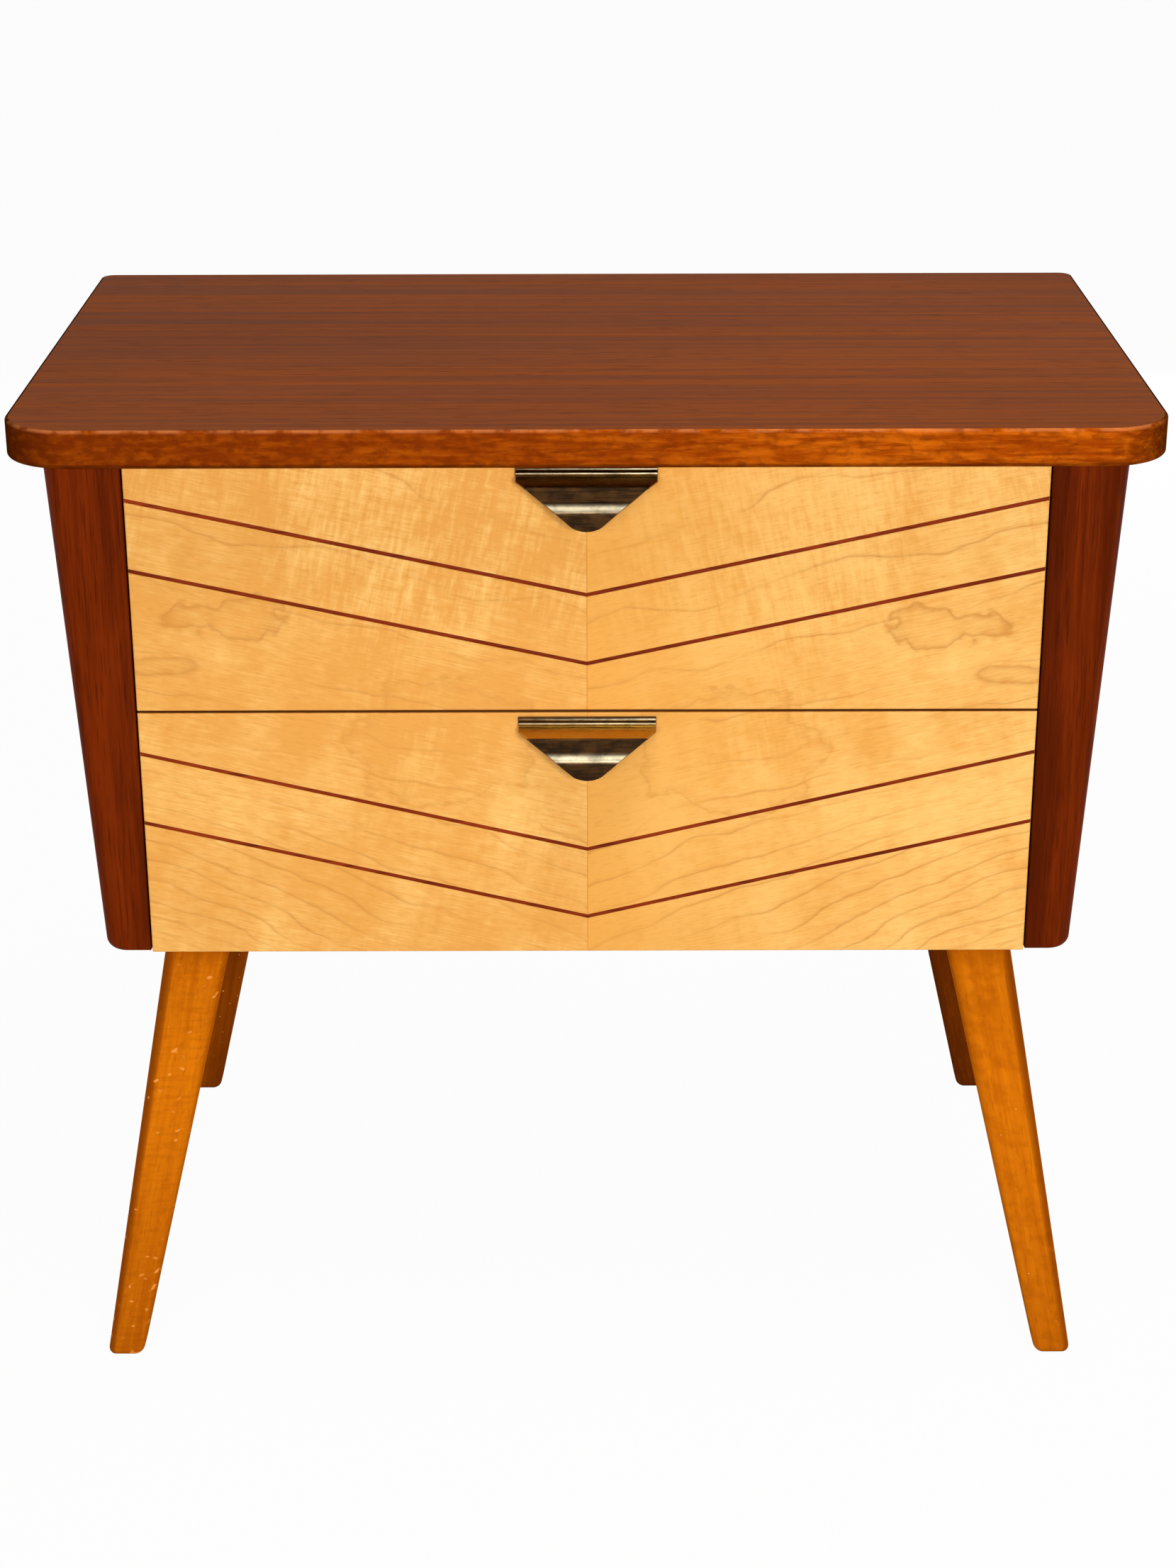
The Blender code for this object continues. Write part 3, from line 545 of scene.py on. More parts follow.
@dataclass(frozen=True)
class FiguredMaple:
    """Book-matched maple veneer: one leaf on the left and its mirror image on the right.

    A leaf is drawn over (distance from the centre seam, height). The growth level is the height
    less a slope times the distance, bent by two noises. The ring count falls off with the level as
    a power of e, so that the rings lie wider further up. A ring's darkness falls off as a power of
    e with the distance from it, slowly on one side and fast on the other. A few rings close on
    themselves. Curl, flame, fibre and ticks are noises drawn out across and along the slope. Behind
    the face the edges are painted dark: painted shade in the gaps between the fronts. The right
    leaf is painted lighter, and darker beside the seam: painted sheen of the mirrored leaf, and
    light from the right.
    """

    name: str
    light: Colour
    dark: Colour
    ring: Colour
    # Painted sheen beside the seam, and painted shade on the edges in the gaps.
    seam_sheen: Colour
    gap_shade: Colour
    face: float = -0.1515
    leaf_shift: float = 0.006
    fibre_turn: float = math.radians(13)
    rings: float = 43.0
    ring_reach: float = 0.25
    ring_soft: float = 0.0009
    ring_sharp: float = 0.0005
    ring_depth: float = 0.60
    left_rings: float = 0.8
    slope_range: Span = (0.29, 0.44)
    slopes: Span = (0.50, 0.23)
    drift: Pattern = Pattern((6.0, 6.0, 7.0))
    drift_reach: float = 0.060
    wander: Pattern = Pattern((17.0, 17.0, 27.0), shift=2.0, detail=2.5)
    wander_reach: float = 0.024
    fade: Pattern = Pattern((9.0, 9.0, 15.0), shift=4.0)
    fade_range: Span = (0.38, 0.60)
    fade_floor: float = 0.15
    loops: tuple[Loop, ...] = ()
    loop_soft: float = 0.0022
    loop_sharp: float = 0.0009
    loop_bend: Pattern = Pattern((48.0, 48.0, 62.0), shift=12.0, detail=2.5)
    curl: Pattern = Pattern((290.0, 1.0, 46.0), roughness=0.6)
    curl_share: float = 0.36
    curl_zones: Pattern = Pattern((8.0, 8.0, 9.0), shift=9.0)
    zone_range: Span = (0.38, 0.60)
    curl_rise: Span = (0.30, 0.47)
    curl_floor: float = 0.25
    flame: Pattern = Pattern((34.0, 1.0, 7.0), shift=1.0)
    flame_share: float = 0.28
    fibre: Pattern = Pattern((40.0, 1.0, 1100.0), shift=6.0)
    fibre_share: float = 0.20
    clouds: Pattern = Pattern((14.0, 14.0, 19.0), shift=8.0, detail=4.0, roughness=0.55)
    cloud_share: float = 0.32
    mottle: Pattern = Pattern((110.0, 1.0, 260.0), shift=17.0, detail=3.0, roughness=0.6)
    mottle_share: float = 0.20
    # Painted light on the right leaf: its sheen and the light from the right.
    right_sheen_lift: float = 0.07
    light_range: Span = (0.43, 0.69)
    ticks: Pattern = Pattern((130.0, 1.0, 1400.0), shift=14.0, detail=1.0)
    tick_range: Span = (0.55, 0.68)
    tick_depth: float = 0.18
    seam_reach: float = 0.10
    seam_depth: float = 0.9
    joint_half: float = 0.0003
    joint_depth: float = 0.45
    # Painted shade on the edges behind the face, in the gaps between the fronts.
    shade_from: float = 0.0008
    shade_full: float = 0.0018
    shade_depth: float = 0.9
    roughness: Span = (0.36, 0.46)
    specular: float = 0.1
    relief: float = 0.00004
    fibre_relief: float = 0.4
    ring_relief: float = 0.15

    def fall(self, canvas: Canvas, value: Socket, by: float) -> Socket:
        """Returns e to the power of minus a value over a number."""
        return canvas.math("POWER", math.e, canvas.math("MULTIPLY", value, -1.0 / by))

    def looped(self, canvas: Canvas, leaf: Leaf) -> Feed:
        """Works out the rings that close on themselves.

        A loop lies where the distance from its middle, in its half sizes, plus a noise is 1. Its
        darkness falls off as a power of e, slowly inside the loop and fast outside.

        Args:
            canvas: The material's nodes.
            leaf: The place on the leaf.

        Returns:
            The darkness, from 0 to 1.
        """
        bend = canvas.math("SUBTRACT", self.loop_bend.read(canvas, leaf.point), NOISE_MIDDLE)
        dark: Feed = 0.0
        for loop in self.loops:
            far = canvas.math("MULTIPLY_ADD", leaf.out, 1.0 / loop.length, -loop.out / loop.length)
            high = canvas.math("MULTIPLY_ADD", leaf.up, 1.0 / loop.width, -loop.up / loop.width)
            reach = canvas.math("MULTIPLY_ADD", far, far, canvas.math("MULTIPLY", high, high))
            reach = canvas.math("MULTIPLY_ADD", bend, loop.bend, canvas.math("SQRT", reach))
            inside = canvas.math("MAXIMUM", canvas.math("SUBTRACT", 1.0, reach), 0.0)
            outside = canvas.math("MAXIMUM", canvas.math("SUBTRACT", reach, 1.0), 0.0)
            way = canvas.math("MULTIPLY", outside, loop.width / self.loop_sharp)
            way = canvas.math("MULTIPLY_ADD", inside, loop.width / self.loop_soft, way)
            line = canvas.math("MULTIPLY", self.fall(canvas, way, 1.0), loop.depth)
            dark = canvas.math("MAXIMUM", dark, line)
        return dark

    def ringed(self, canvas: Canvas, leaf: Leaf) -> Socket:
        """Works out the growth rings, open and closed.

        The part of the ring count after the point says how far the next and the last ring are, in
        steps of the pitch.

        Args:
            canvas: The material's nodes.
            leaf: The place on the leaf.

        Returns:
            The darkness, from 0 to 1, a little less on the left leaf.
        """
        slope = canvas.spread(leaf.up, self.slope_range, self.slopes)
        level = canvas.math("SUBTRACT", leaf.up, canvas.math("MULTIPLY", slope, leaf.out))
        drift = self.drift.read(canvas, leaf.point)
        level = canvas.math("MULTIPLY_ADD", drift, self.drift_reach, level)
        wander = self.wander.read(canvas, leaf.point)
        level = canvas.math("MULTIPLY_ADD", wander, self.wander_reach, level)
        count = canvas.math("MULTIPLY", self.fall(canvas, level, self.ring_reach), self.rings)
        pitch = canvas.math("DIVIDE", self.ring_reach, count)
        part = canvas.math("FRACT", count)
        to_next = canvas.math("MULTIPLY", canvas.math("SUBTRACT", 1.0, part), pitch)
        from_last = canvas.math("MULTIPLY", part, pitch)
        soft = self.fall(canvas, to_next, self.ring_soft)
        sharp = self.fall(canvas, from_last, self.ring_sharp)
        fade = self.fade.read(canvas, leaf.point)
        fade = canvas.spread(fade, self.fade_range, (self.fade_floor, 1.0))
        open_rings = canvas.math("MULTIPLY", canvas.math("MAXIMUM", soft, sharp), fade)
        dark = canvas.math("MAXIMUM", open_rings, self.looped(canvas, leaf))
        by_leaf = canvas.math("MULTIPLY_ADD", leaf.right, 1.0 - self.left_rings, self.left_rings)
        return canvas.math("MULTIPLY", dark, by_leaf)

    def lightness(self, canvas: Canvas, leaf: Leaf, curl: Socket, fibre: Socket) -> Socket:
        """Works out the share of the light colour: a weighted sum of noises.

        It is higher on the right leaf, which is painted light: the mirrored leaf's sheen and the
        light from the right. The curl counts by zones, and less further down.

        Args:
            canvas: The material's nodes.
            leaf: The place on the leaf.
            curl: The curl's noise.
            fibre: The fibre's noise.

        Returns:
            The share, from 0 to 1.
        """
        zones = canvas.spread(self.curl_zones.read(canvas, leaf.point), self.zone_range)
        risen = canvas.spread(leaf.up, self.curl_rise, (self.curl_floor, 1.0))
        curled = canvas.math("MULTIPLY", zones, risen)
        share = canvas.math("MULTIPLY", curl, canvas.math("MULTIPLY", curled, self.curl_share))
        middle = canvas.math("MULTIPLY", curled, self.curl_share * NOISE_MIDDLE)
        share = canvas.math("SUBTRACT", share, middle)
        # The right leaf's lift is painted light: the mirrored leaf's sheen and the light from the
        # right.
        weighted = (
            (self.flame.read(canvas, leaf.turned), self.flame_share),
            (fibre, self.fibre_share),
            (self.clouds.read(canvas, leaf.point), self.cloud_share),
            (self.mottle.read(canvas, leaf.turned), self.mottle_share),
            (leaf.right, self.right_sheen_lift),
        )
        for pattern, weight in weighted:
            share = canvas.math("MULTIPLY_ADD", pattern, weight, share)
        return canvas.spread(share, self.light_range)

    def lined(self, canvas: Canvas, leaf: Leaf, ring: Socket, colour: Socket) -> Socket:
        """Lays the painted sheen beside the seam, the ticks, the rings and the joint over the
        colour.

        Args:
            canvas: The material's nodes.
            leaf: The place on the leaf.
            ring: The rings' darkness.
            colour: The colour so far.

        Returns:
            The colour with its lines.
        """
        # Painted sheen: the right leaf is painted darker beside the seam.
        seam = canvas.math("MULTIPLY", leaf.right, self.fall(canvas, leaf.out, self.seam_reach))
        colour = canvas.mix(canvas.math("MULTIPLY", seam, self.seam_depth), colour, self.seam_sheen)
        ticks = self.ticks.read(canvas, leaf.turned)
        ticks = canvas.spread(ticks, self.tick_range, (0.0, self.tick_depth))
        colour = canvas.mix(ticks, colour, self.ring)
        colour = canvas.mix(canvas.math("MULTIPLY", ring, self.ring_depth), colour, self.ring)
        joint = canvas.math("LESS_THAN", leaf.out, self.joint_half)
        return canvas.mix(canvas.math("MULTIPLY", joint, self.joint_depth), colour, self.ring)

    def material(self) -> bpy.types.Material:
        """Builds the veneer's material.

        Returns:
            The material, which both drawer fronts share, so that a leaf runs over both.
        """
        canvas = Canvas(self.name)
        across, deep, height = canvas.split(canvas.place(Source.OBJECT))
        out = canvas.math("ABSOLUTE", across)
        right = canvas.math("GREATER_THAN", across, 0.0)
        up = canvas.math("MULTIPLY_ADD", right, self.leaf_shift, height)
        point = canvas.join(out, 0.0, up)
        turned = canvas.mapped(point, (1.0, 1.0, 1.0), turn=self.fibre_turn)
        leaf = Leaf(out, up, right, point, turned)
        ring = self.ringed(canvas, leaf)
        curl = self.curl.read(canvas, leaf.turned)
        fibre = self.fibre.read(canvas, leaf.turned)
        colour = canvas.mix(self.lightness(canvas, leaf, curl, fibre), self.dark, self.light)
        colour = self.lined(canvas, leaf, ring, colour)
        # Painted shade: behind the face the edges are painted dark, for the gaps between the
        # fronts.
        stained = (self.face + self.shade_from, self.face + self.shade_full)
        behind = canvas.spread(deep, stained, (0.0, self.shade_depth))
        colour = canvas.mix(behind, colour, self.gap_shade)
        roughness = canvas.spread(curl, NOISE_RANGE, self.roughness)
        raised = canvas.math("MULTIPLY", fibre, self.fibre_relief)
        raised = canvas.math("MULTIPLY_ADD", ring, -self.ring_relief, raised)
        canvas.surface(colour, roughness, raised, self.relief)
        canvas.shader.inputs["Specular IOR Level"].default_value = self.specular
        return canvas.material


@dataclass(frozen=True)
class Metal:
    """Metal with clouds of tarnish, brushed along X, with painted highlights and a painted
    reflection.
    """

    name: str
    bright: Colour
    tarnish: Colour
    # Painted light: a highlight colour, partly polish, and a reflection colour for a pull's ledge.
    rubbed: Colour
    ledge_reflection: Colour
    clouds: Pattern = Pattern((110.0, 110.0, 150.0), detail=4.0, roughness=0.6)
    brush: Pattern = Pattern((70.0, 900.0, 900.0), shift=3.0)
    brush_share: float = 0.35
    bright_range: Span = (0.38, 0.62)
    wear_and_light_range: Span = (0.32, 0.58)
    wear_and_light_floor: float = 0.55
    roughness: float = 0.26
    roughness_range: Span = (-0.05, 0.08)
    relief: float = 0.00002
    coat: float = 0.0
    coat_roughness: float = 0.12

    def material(self) -> bpy.types.Material:
        """Builds the metal's material.

        Returns:
            The material, bright where the sum of brushing and clouds is high.
        """
        canvas = Canvas(self.name)
        place = canvas.place(Source.OBJECT)
        clouds = self.clouds.read(canvas, place)
        brush = self.brush.read(canvas, place)
        share = canvas.math("MULTIPLY", clouds, 1.0 - self.brush_share)
        share = canvas.math("MULTIPLY_ADD", brush, self.brush_share, share)
        colour = canvas.mix(canvas.spread(share, self.bright_range), self.tarnish, self.bright)
        patchy = canvas.spread(clouds, self.wear_and_light_range, (self.wear_and_light_floor, 1.0))
        # Painted highlights, partly polish, where the wear_and_light attribute is high.
        colour = canvas.mix(canvas.math("MULTIPLY", canvas.held(WEAR_AND_LIGHT), patchy), colour, self.rubbed)
        # Painted reflection of the maple where the tone attribute is high.
        colour = canvas.mix(canvas.held(SHADE_AND_REFLECTION), colour, self.ledge_reflection)
        smooth, rough = (self.roughness + change for change in self.roughness_range)
        roughness = canvas.spread(brush, NOISE_RANGE, (smooth, rough))
        canvas.surface(colour, roughness, brush, self.relief)
        canvas.shader.inputs["Metallic"].default_value = 1.0
        canvas.shader.inputs["Coat Weight"].default_value = self.coat
        canvas.shader.inputs["Coat Roughness"].default_value = self.coat_roughness
        return canvas.material


class Finish(Enum):
    """The finishes on the cabinet, each with what makes its material."""

    TOP_VENEER = Timber(
        "top_veneer", light=(138, 67, 21), dark=(98, 46, 14), pore=(60, 27, 8), bands=22.0,
        streaks=250.0, streak_runs=1.6, shares=(0.12, 0.78, 0.10), pores=800.0, pore_runs=50.0,
        pore_depth=0.45, contrast=0.17, roughness=0.5, specular=0.01,
    )
    # The lipping's painted light: a pale arris colour, partly a painted highlight; painted shade at
    # the round corners and the lower arris, partly a deeper stain; and a painted darker left end.
    TOP_LIPPING = WornTimber(
        "top_lipping", light=(206, 101, 12), dark=(150, 59, 4), pore=(96, 34, 2), streaks=330.0,
        streak_runs=34.0, shares=(0.22, 0.56, 0.22), contrast=0.10, pores=420.0, pore_runs=60.0,
        pore_depth=0.4, roughness=0.42, specular=0.0, patch=(112, 40, 4), worn=(214, 130, 74),
        stain_and_shade=(48, 16, 2), mottle_scale=(120.0, 120.0, 230.0), mottle_depth=0.55, drift=1.0,
        rub=0.5, wear_and_light_from=0.38, chips=1.0,
    )
    SIDE_VENEER = Timber(
        "side_veneer", light=(124, 42, 3), dark=(82, 24, 1), pore=(54, 15, 1), along=Axis.Z,
        bands=40.0, streaks=300.0, streak_runs=14.0, pores=1100.0, pore_depth=0.45, contrast=0.12,
        roughness=0.42, specular=0.02,
    )
    # Painted light: seam_sheen and the right leaf's lift are painted sheen; gap_shade is painted
    # shade.
    MAPLE = FiguredMaple(
        "maple", light=(255, 203, 118), dark=(233, 163, 76), ring=(194, 121, 46),
        seam_sheen=(236, 165, 73), gap_shade=(136, 78, 30),
        loops=(
            Loop(out=0.188, up=0.447, length=0.028, width=0.011, bend=2.2, depth=1.0),
            Loop(out=0.078, up=0.376, length=0.050, width=0.035, bend=1.0, depth=0.5),
            Loop(out=0.226, up=0.421, length=0.018, width=0.005, bend=1.6, depth=0.9),
        ),
    )
    STRING = Timber(
        "string", light=(150, 54, 15), dark=(112, 33, 7), pore=(70, 18, 4), bands=60.0,
        roughness=0.5, specular=0.05,
    )
    # The dark worn is painted shade along the legs' corners and under the case.
    LEG_BEECH = WornTimber(
        "leg_beech", light=(228, 126, 12), dark=(197, 98, 6), pore=(158, 74, 4), along=Axis.Z,
        source=Source.GRAIN, bands=70.0, streaks=330.0, pores=700.0, pore_runs=130.0,
        pore_depth=0.28, roughness=0.55, specular=0.0, patch=(170, 80, 4), worn=(122, 51, 4),
        chip=(246, 196, 120),
        mottle_scale=(90.0, 90.0, 130.0), mottle_depth=0.36, rub=0.8, wear_and_light_from=0.2, chips=0.80,
    )
    RUBBED_LEG_BEECH = replace(
        LEG_BEECH, name="rubbed_leg_beech", chip=(244, 152, 62), mottle_scale=(80.0, 80.0, 400.0),
        mottle_depth=0.3, chips=0.645, chip_edge=0.12, chip_scale=(170.0, 170.0, 290.0),
    )
    # The back legs' copies are painted shade: the left one darker.
    SHADED_LEG_BEECH = replace(
        LEG_BEECH, name="shaded_leg_beech", light=(170, 81, 7), dark=(132, 58, 4),
        patch=(108, 44, 3), worn=(52, 20, 3), mottle_scale=(60.0, 60.0, 26.0), mottle_depth=0.3,
        rub=0.95, wear_and_light_from=0.1,
    )
    # The right back leg's copy is painted deeper shade.
    DEEP_SHADE_LEG_BEECH = replace(
        SHADED_LEG_BEECH, name="deep_shade_leg_beech", light=(136, 60, 6), dark=(102, 43, 4),
        patch=(84, 33, 3), worn=(42, 16, 3),
    )
    BEECH_X = Timber(
        "drawer_beech_x", light=(226, 190, 142), dark=(204, 162, 112), pore=(166, 118, 72),
        pores=800.0, pore_runs=170.0, pore_depth=0.45, roughness=0.6, specular=0.25,
    )
    BEECH_Y = replace(BEECH_X, name="drawer_beech_y", along=Axis.Y)
    PLYWOOD = Timber(
        "plywood", light=(214, 172, 122), dark=(184, 140, 92), pore=(140, 98, 58), bands=12.0,
        streaks=120.0, pores=620.0, pore_runs=60.0, pore_depth=0.4, roughness=0.66, specular=0.2,
    )
    # Painted light: rubbed is a painted highlight, partly polish; ledge_reflection is a painted
    # reflection of the maple.
    BRASS = Metal(
        "aged_brass", bright=(74, 47, 20), tarnish=(42, 26, 10), rubbed=(252, 236, 196),
        ledge_reflection=(176, 132, 44), roughness=0.22, coat=0.1,
    )
    STEEL = Metal(
        "steel", bright=(172, 168, 160), tarnish=(120, 116, 108), rubbed=(190, 188, 182),
        ledge_reflection=(172, 168, 160), brush=Pattern((400.0, 400.0, 400.0), shift=3.0), roughness=0.4,
    )


class Palette:
    """The finished materials, each made once, the first time it is asked for."""

    def __init__(self) -> None:
        """Starts with no material made."""
        self.made: dict[Finish, bpy.types.Material] = {}

    def __getitem__(self, finish: Finish) -> bpy.types.Material:
        """Finds a finish's material, or makes it.

        Args:
            finish: The finish.

        Returns:
            Its material.
        """
        if finish not in self.made:
            self.made[finish] = finish.value.material()
        return self.made[finish]


@dataclass
class Shape:
    """A piece's points and faces, with its grain place and shares of use and painted light and
    shade.
    """

    points: np.ndarray
    faces: list[list[int]]
    grain: Optional[np.ndarray] = None
    wear_and_light: Optional[np.ndarray] = None
    tone: Optional[np.ndarray] = None

    def mesh(self, name: str) -> bpy.types.Mesh:
        """Writes the shape to a new mesh, with its faces outward and its arrises sharp.

        Args:
            name: The mesh's name.

        Returns:
            The mesh, with the attributes that the shape has.
        """
        mesh = bpy.data.meshes.new(name)
        mesh.from_pydata(self.points.tolist(), [], self.faces)
        if self.grain is not None:
            layer = mesh.attributes.new(GRAIN, "FLOAT_VECTOR", "POINT")
            layer.data.foreach_set("vector", np.ascontiguousarray(self.grain, np.float32).ravel())
        for word, share in ((WEAR_AND_LIGHT, self.wear_and_light), (SHADE_AND_REFLECTION, self.tone)):
            if share is not None:
                layer = mesh.attributes.new(word, "FLOAT", "POINT")
                layer.data.foreach_set("value", np.ascontiguousarray(share, np.float32).ravel())
        closed = bmesh.new()
        closed.from_mesh(mesh)
        bmesh.ops.recalc_face_normals(closed, faces=closed.faces)
        closed.to_mesh(mesh)
        closed.free()
        mesh.shade_smooth()
        mesh.set_sharp_from_angle(angle=CREASE)
        return mesh


def quads(rows: int, columns: int, wrap_rows: bool = False,
          wrap_columns: bool = True) -> np.ndarray:
    """Numbers the corners of the faces between neighbouring points of a grid.

    Point (row, column) has number row * columns + column. Each face joins it to the next column,
    that column's next row, and the next row. A wrapped direction joins its last points to its
    first.

    Args:
        rows: Points in the first direction.
        columns: Points in the second direction.
        wrap_rows: Whether the last row meets the first.
        wrap_columns: Whether the last column meets the first.

    Returns:
        An array of four corner numbers for each face.
    """
    row = np.arange(rows if wrap_rows else rows - 1)[:, None] * columns
    column = np.arange(columns if wrap_columns else columns - 1)[None, :]
    below, beside = (row + columns) % (rows * columns), (column + 1) % columns
    corners = (row + column, row + beside, below + beside, below + column)
    return np.stack(corners, axis=-1).reshape(-1, 4)


def loft(rings: np.ndarray) -> Shape:
    """Skins rings in order and closes both ends with flat caps.

    Args:
        rings: Points of shape (rings, points, 3).

    Returns:
        The closed shape.
    """
    count, around, _ = rings.shape
    faces = quads(count, around).tolist()
    faces.append(list(range(around))[::-1])
    faces.append(list(range((count - 1) * around, count * around)))
    return Shape(rings.reshape(-1, 3), faces)


def rounded_outline(half: np.ndarray, low: np.ndarray, high: np.ndarray, low_radius: np.ndarray,
                    high_radius: np.ndarray, steps: int) -> np.ndarray:
    """Draws rectangles about the line of zero width, round at their corners, one for each row.

    A corner is its centre plus its radius times (cos a, sin a), for a over a quarter turn.

    Args:
        half: Half widths, of shape (rings, 1), as the next four are.
        low: The low edges.
        high: The high edges.
        low_radius: The corner radii at the low edges.
        high_radius: The corner radii at the high edges.
        steps: Faces in each corner.

    Returns:
        Points of shape (rings, points, 2).
    """
    turn = np.linspace(0.0, QUARTER, steps + 1)[None, :]
    corners = (
        (low_radius - half, low + low_radius, low_radius, 2 * QUARTER),
        (half - low_radius, low + low_radius, low_radius, 3 * QUARTER),
        (half - high_radius, high - high_radius, high_radius, 0.0),
        (high_radius - half, high - high_radius, high_radius, QUARTER),
    )
    runs = []
    for middle, level, radius, start in corners:
        x = middle + radius * np.cos(start + turn)
        y = level + radius * np.sin(start + turn)
        runs.append(np.stack(np.broadcast_arrays(x, y), axis=-1))
    return np.concatenate(runs, axis=1)


def quarter_round(radius: float, steps: int) -> tuple[np.ndarray, np.ndarray]:
    """Returns a quarter round's depths from the face and insets from the edge, from the face in."""
    turn = np.linspace(0.0, QUARTER, steps + 1)
    return radius * (1.0 - np.cos(turn)), radius * (1.0 - np.sin(turn))


def smoothed(points: np.ndarray, rounds: int, cut: float = 0.25) -> np.ndarray:
    """Softens a line by cutting its corners.

    Each round puts two points on every stretch, one a cut from each of its ends. The line's own
    ends stay.

    Args:
        points: The line's points, in rows.
        rounds: How often its corners are cut.
        cut: The share of a stretch that is cut off.

    Returns:
        The softened line's points.
    """
    keep = 1.0 - cut
    for _ in range(rounds):
        near, far = points[:-1], points[1:]
        pairs = np.stack((keep * near + cut * far, cut * near + keep * far), axis=1)
        points = np.concatenate((points[:1], pairs.reshape(-1, points.shape[1]), points[-1:]))
    return points


def add_piece(name: str, shape: Shape, material: bpy.types.Material, slot: str, body: str,
              *nodes: str) -> None:
    """Makes a piece of a shape, hangs it on its body and hides the nodes that it stands for.

    Args:
        name: The piece's name.
        shape: Its points and faces, in the frame.
        material: Its finish.
        slot: The record's material slot. Not used.
        body: The frame's body that it rides on.
        nodes: The frame's nodes that it replaces.
    """
    piece = bpy.data.objects.new(name, shape.mesh(name))
    bpy.context.scene.collection.objects.link(piece)
    piece.data.materials.append(material)
    even = piece.modifiers.new("Even normals", "WEIGHTED_NORMAL")
    even.keep_sharp = True
    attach(piece, body)
    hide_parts(*nodes)
    LOG.info("%s: %d points, rides on %s", name, len(shape.points), body)


@dataclass
class TopBoard:
    """The top: a veneered board inside a lipping that is rounded at both arrises."""

    front_corner: float = 0.035
    back_corner: float = 0.008
    arris: float = 0.0018
    # Painted shade on the lower arris, and a pale upper arris from use, partly a painted highlight.
    shade_rise: float = 0.0010
    shade_depth: float = 0.52
    wear_and_light_turn: Span = (0.35, 1.0)
    corner_steps: int = 20
    arris_steps: int = 6

    def outlines(self, insets: np.ndarray, levels: np.ndarray) -> np.ndarray:
        """Draws the board's outline in by each inset, at each level.

        Args:
            insets: How far each ring is drawn in.
            levels: The height of each ring.

        Returns:
            Points of shape (rings, points, 3).
        """
        low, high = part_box("top_panel")
        inset = insets[:, None]
        flat = rounded_outline(
            high.x - inset, low.y + inset, high.y - inset,
            self.front_corner - inset, self.back_corner - inset, self.corner_steps,
        )
        upright = np.broadcast_to(levels[:, None, None], (*flat.shape[:2], 1))
        return np.concatenate((flat, upright), axis=-1)

    def lipping(self) -> Shape:
        """Carries a profile of two quarter rounds and a straight edge round the outline.

        The wear_and_light share is on the front's upper arris: a pale arris from use, partly a
        painted highlight. The tone share grows as the outline turns across the grain: painted
        shade at the round corners, partly a deeper stain in the end grain. It is high on the lower
        arris, as painted shade where the arris faces down.

        Returns:
            The lipping, a closed band.
        """
        low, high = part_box("top_panel")
        fall, inset = quarter_round(self.arris, self.arris_steps)
        # The ring where the lower arris's painted shade begins.
        shaded_from = low.z + self.arris + self.shade_rise
        insets = np.concatenate((inset, [0.0], inset[::-1]))
        levels = np.concatenate((high.z - fall, [shaded_from], low.z + fall[::-1]))
        rings = self.outlines(insets, levels)
        rows, around, _ = rings.shape
        shape = Shape(rings.reshape(-1, 3), quads(rows, around, wrap_rows=True).tolist())
        along = np.roll(rings[..., :2], -1, axis=1) - np.roll(rings[..., :2], 1, axis=1)
        with_grain = along[..., 0] / np.linalg.norm(along, axis=-1)
        upper = self.arris_steps + 1
        # The front's upper arris: pale from use, partly a painted highlight.
        rubbed = np.zeros(rows)
        rubbed[:upper] = np.sin(np.linspace(*self.wear_and_light_turn, upper) * math.pi)
        shape.wear_and_light = (rubbed[:, None] * np.clip(with_grain, 0.0, 1.0)).ravel()
        # Painted shade on the lower arris, and at the round corners, partly a deeper stain.
        stained = np.zeros(rows)
        stained[upper + 1 :] = self.shade_depth
        stain_and_shade = np.sqrt(np.clip(1.0 - np.abs(with_grain), 0.0, 1.0))
        shape.tone = np.maximum(stain_and_shade, stained[:, None]).ravel()
        return shape

    def build(self, palette: Palette) -> None:
        """Makes the board and its lipping.

        Args:
            palette: The finished materials.
        """
        low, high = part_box("top_panel")
        board = loft(self.outlines(np.full(2, self.arris), np.array([low.z, high.z])))
        veneer, stained = palette[Finish.TOP_VENEER], palette[Finish.TOP_LIPPING]
        add_piece("top_board", board, veneer, "mahogany", "case", "top_panel")
        add_piece("top_lipping", self.lipping(), stained, "mahogany", "case", "top_panel")


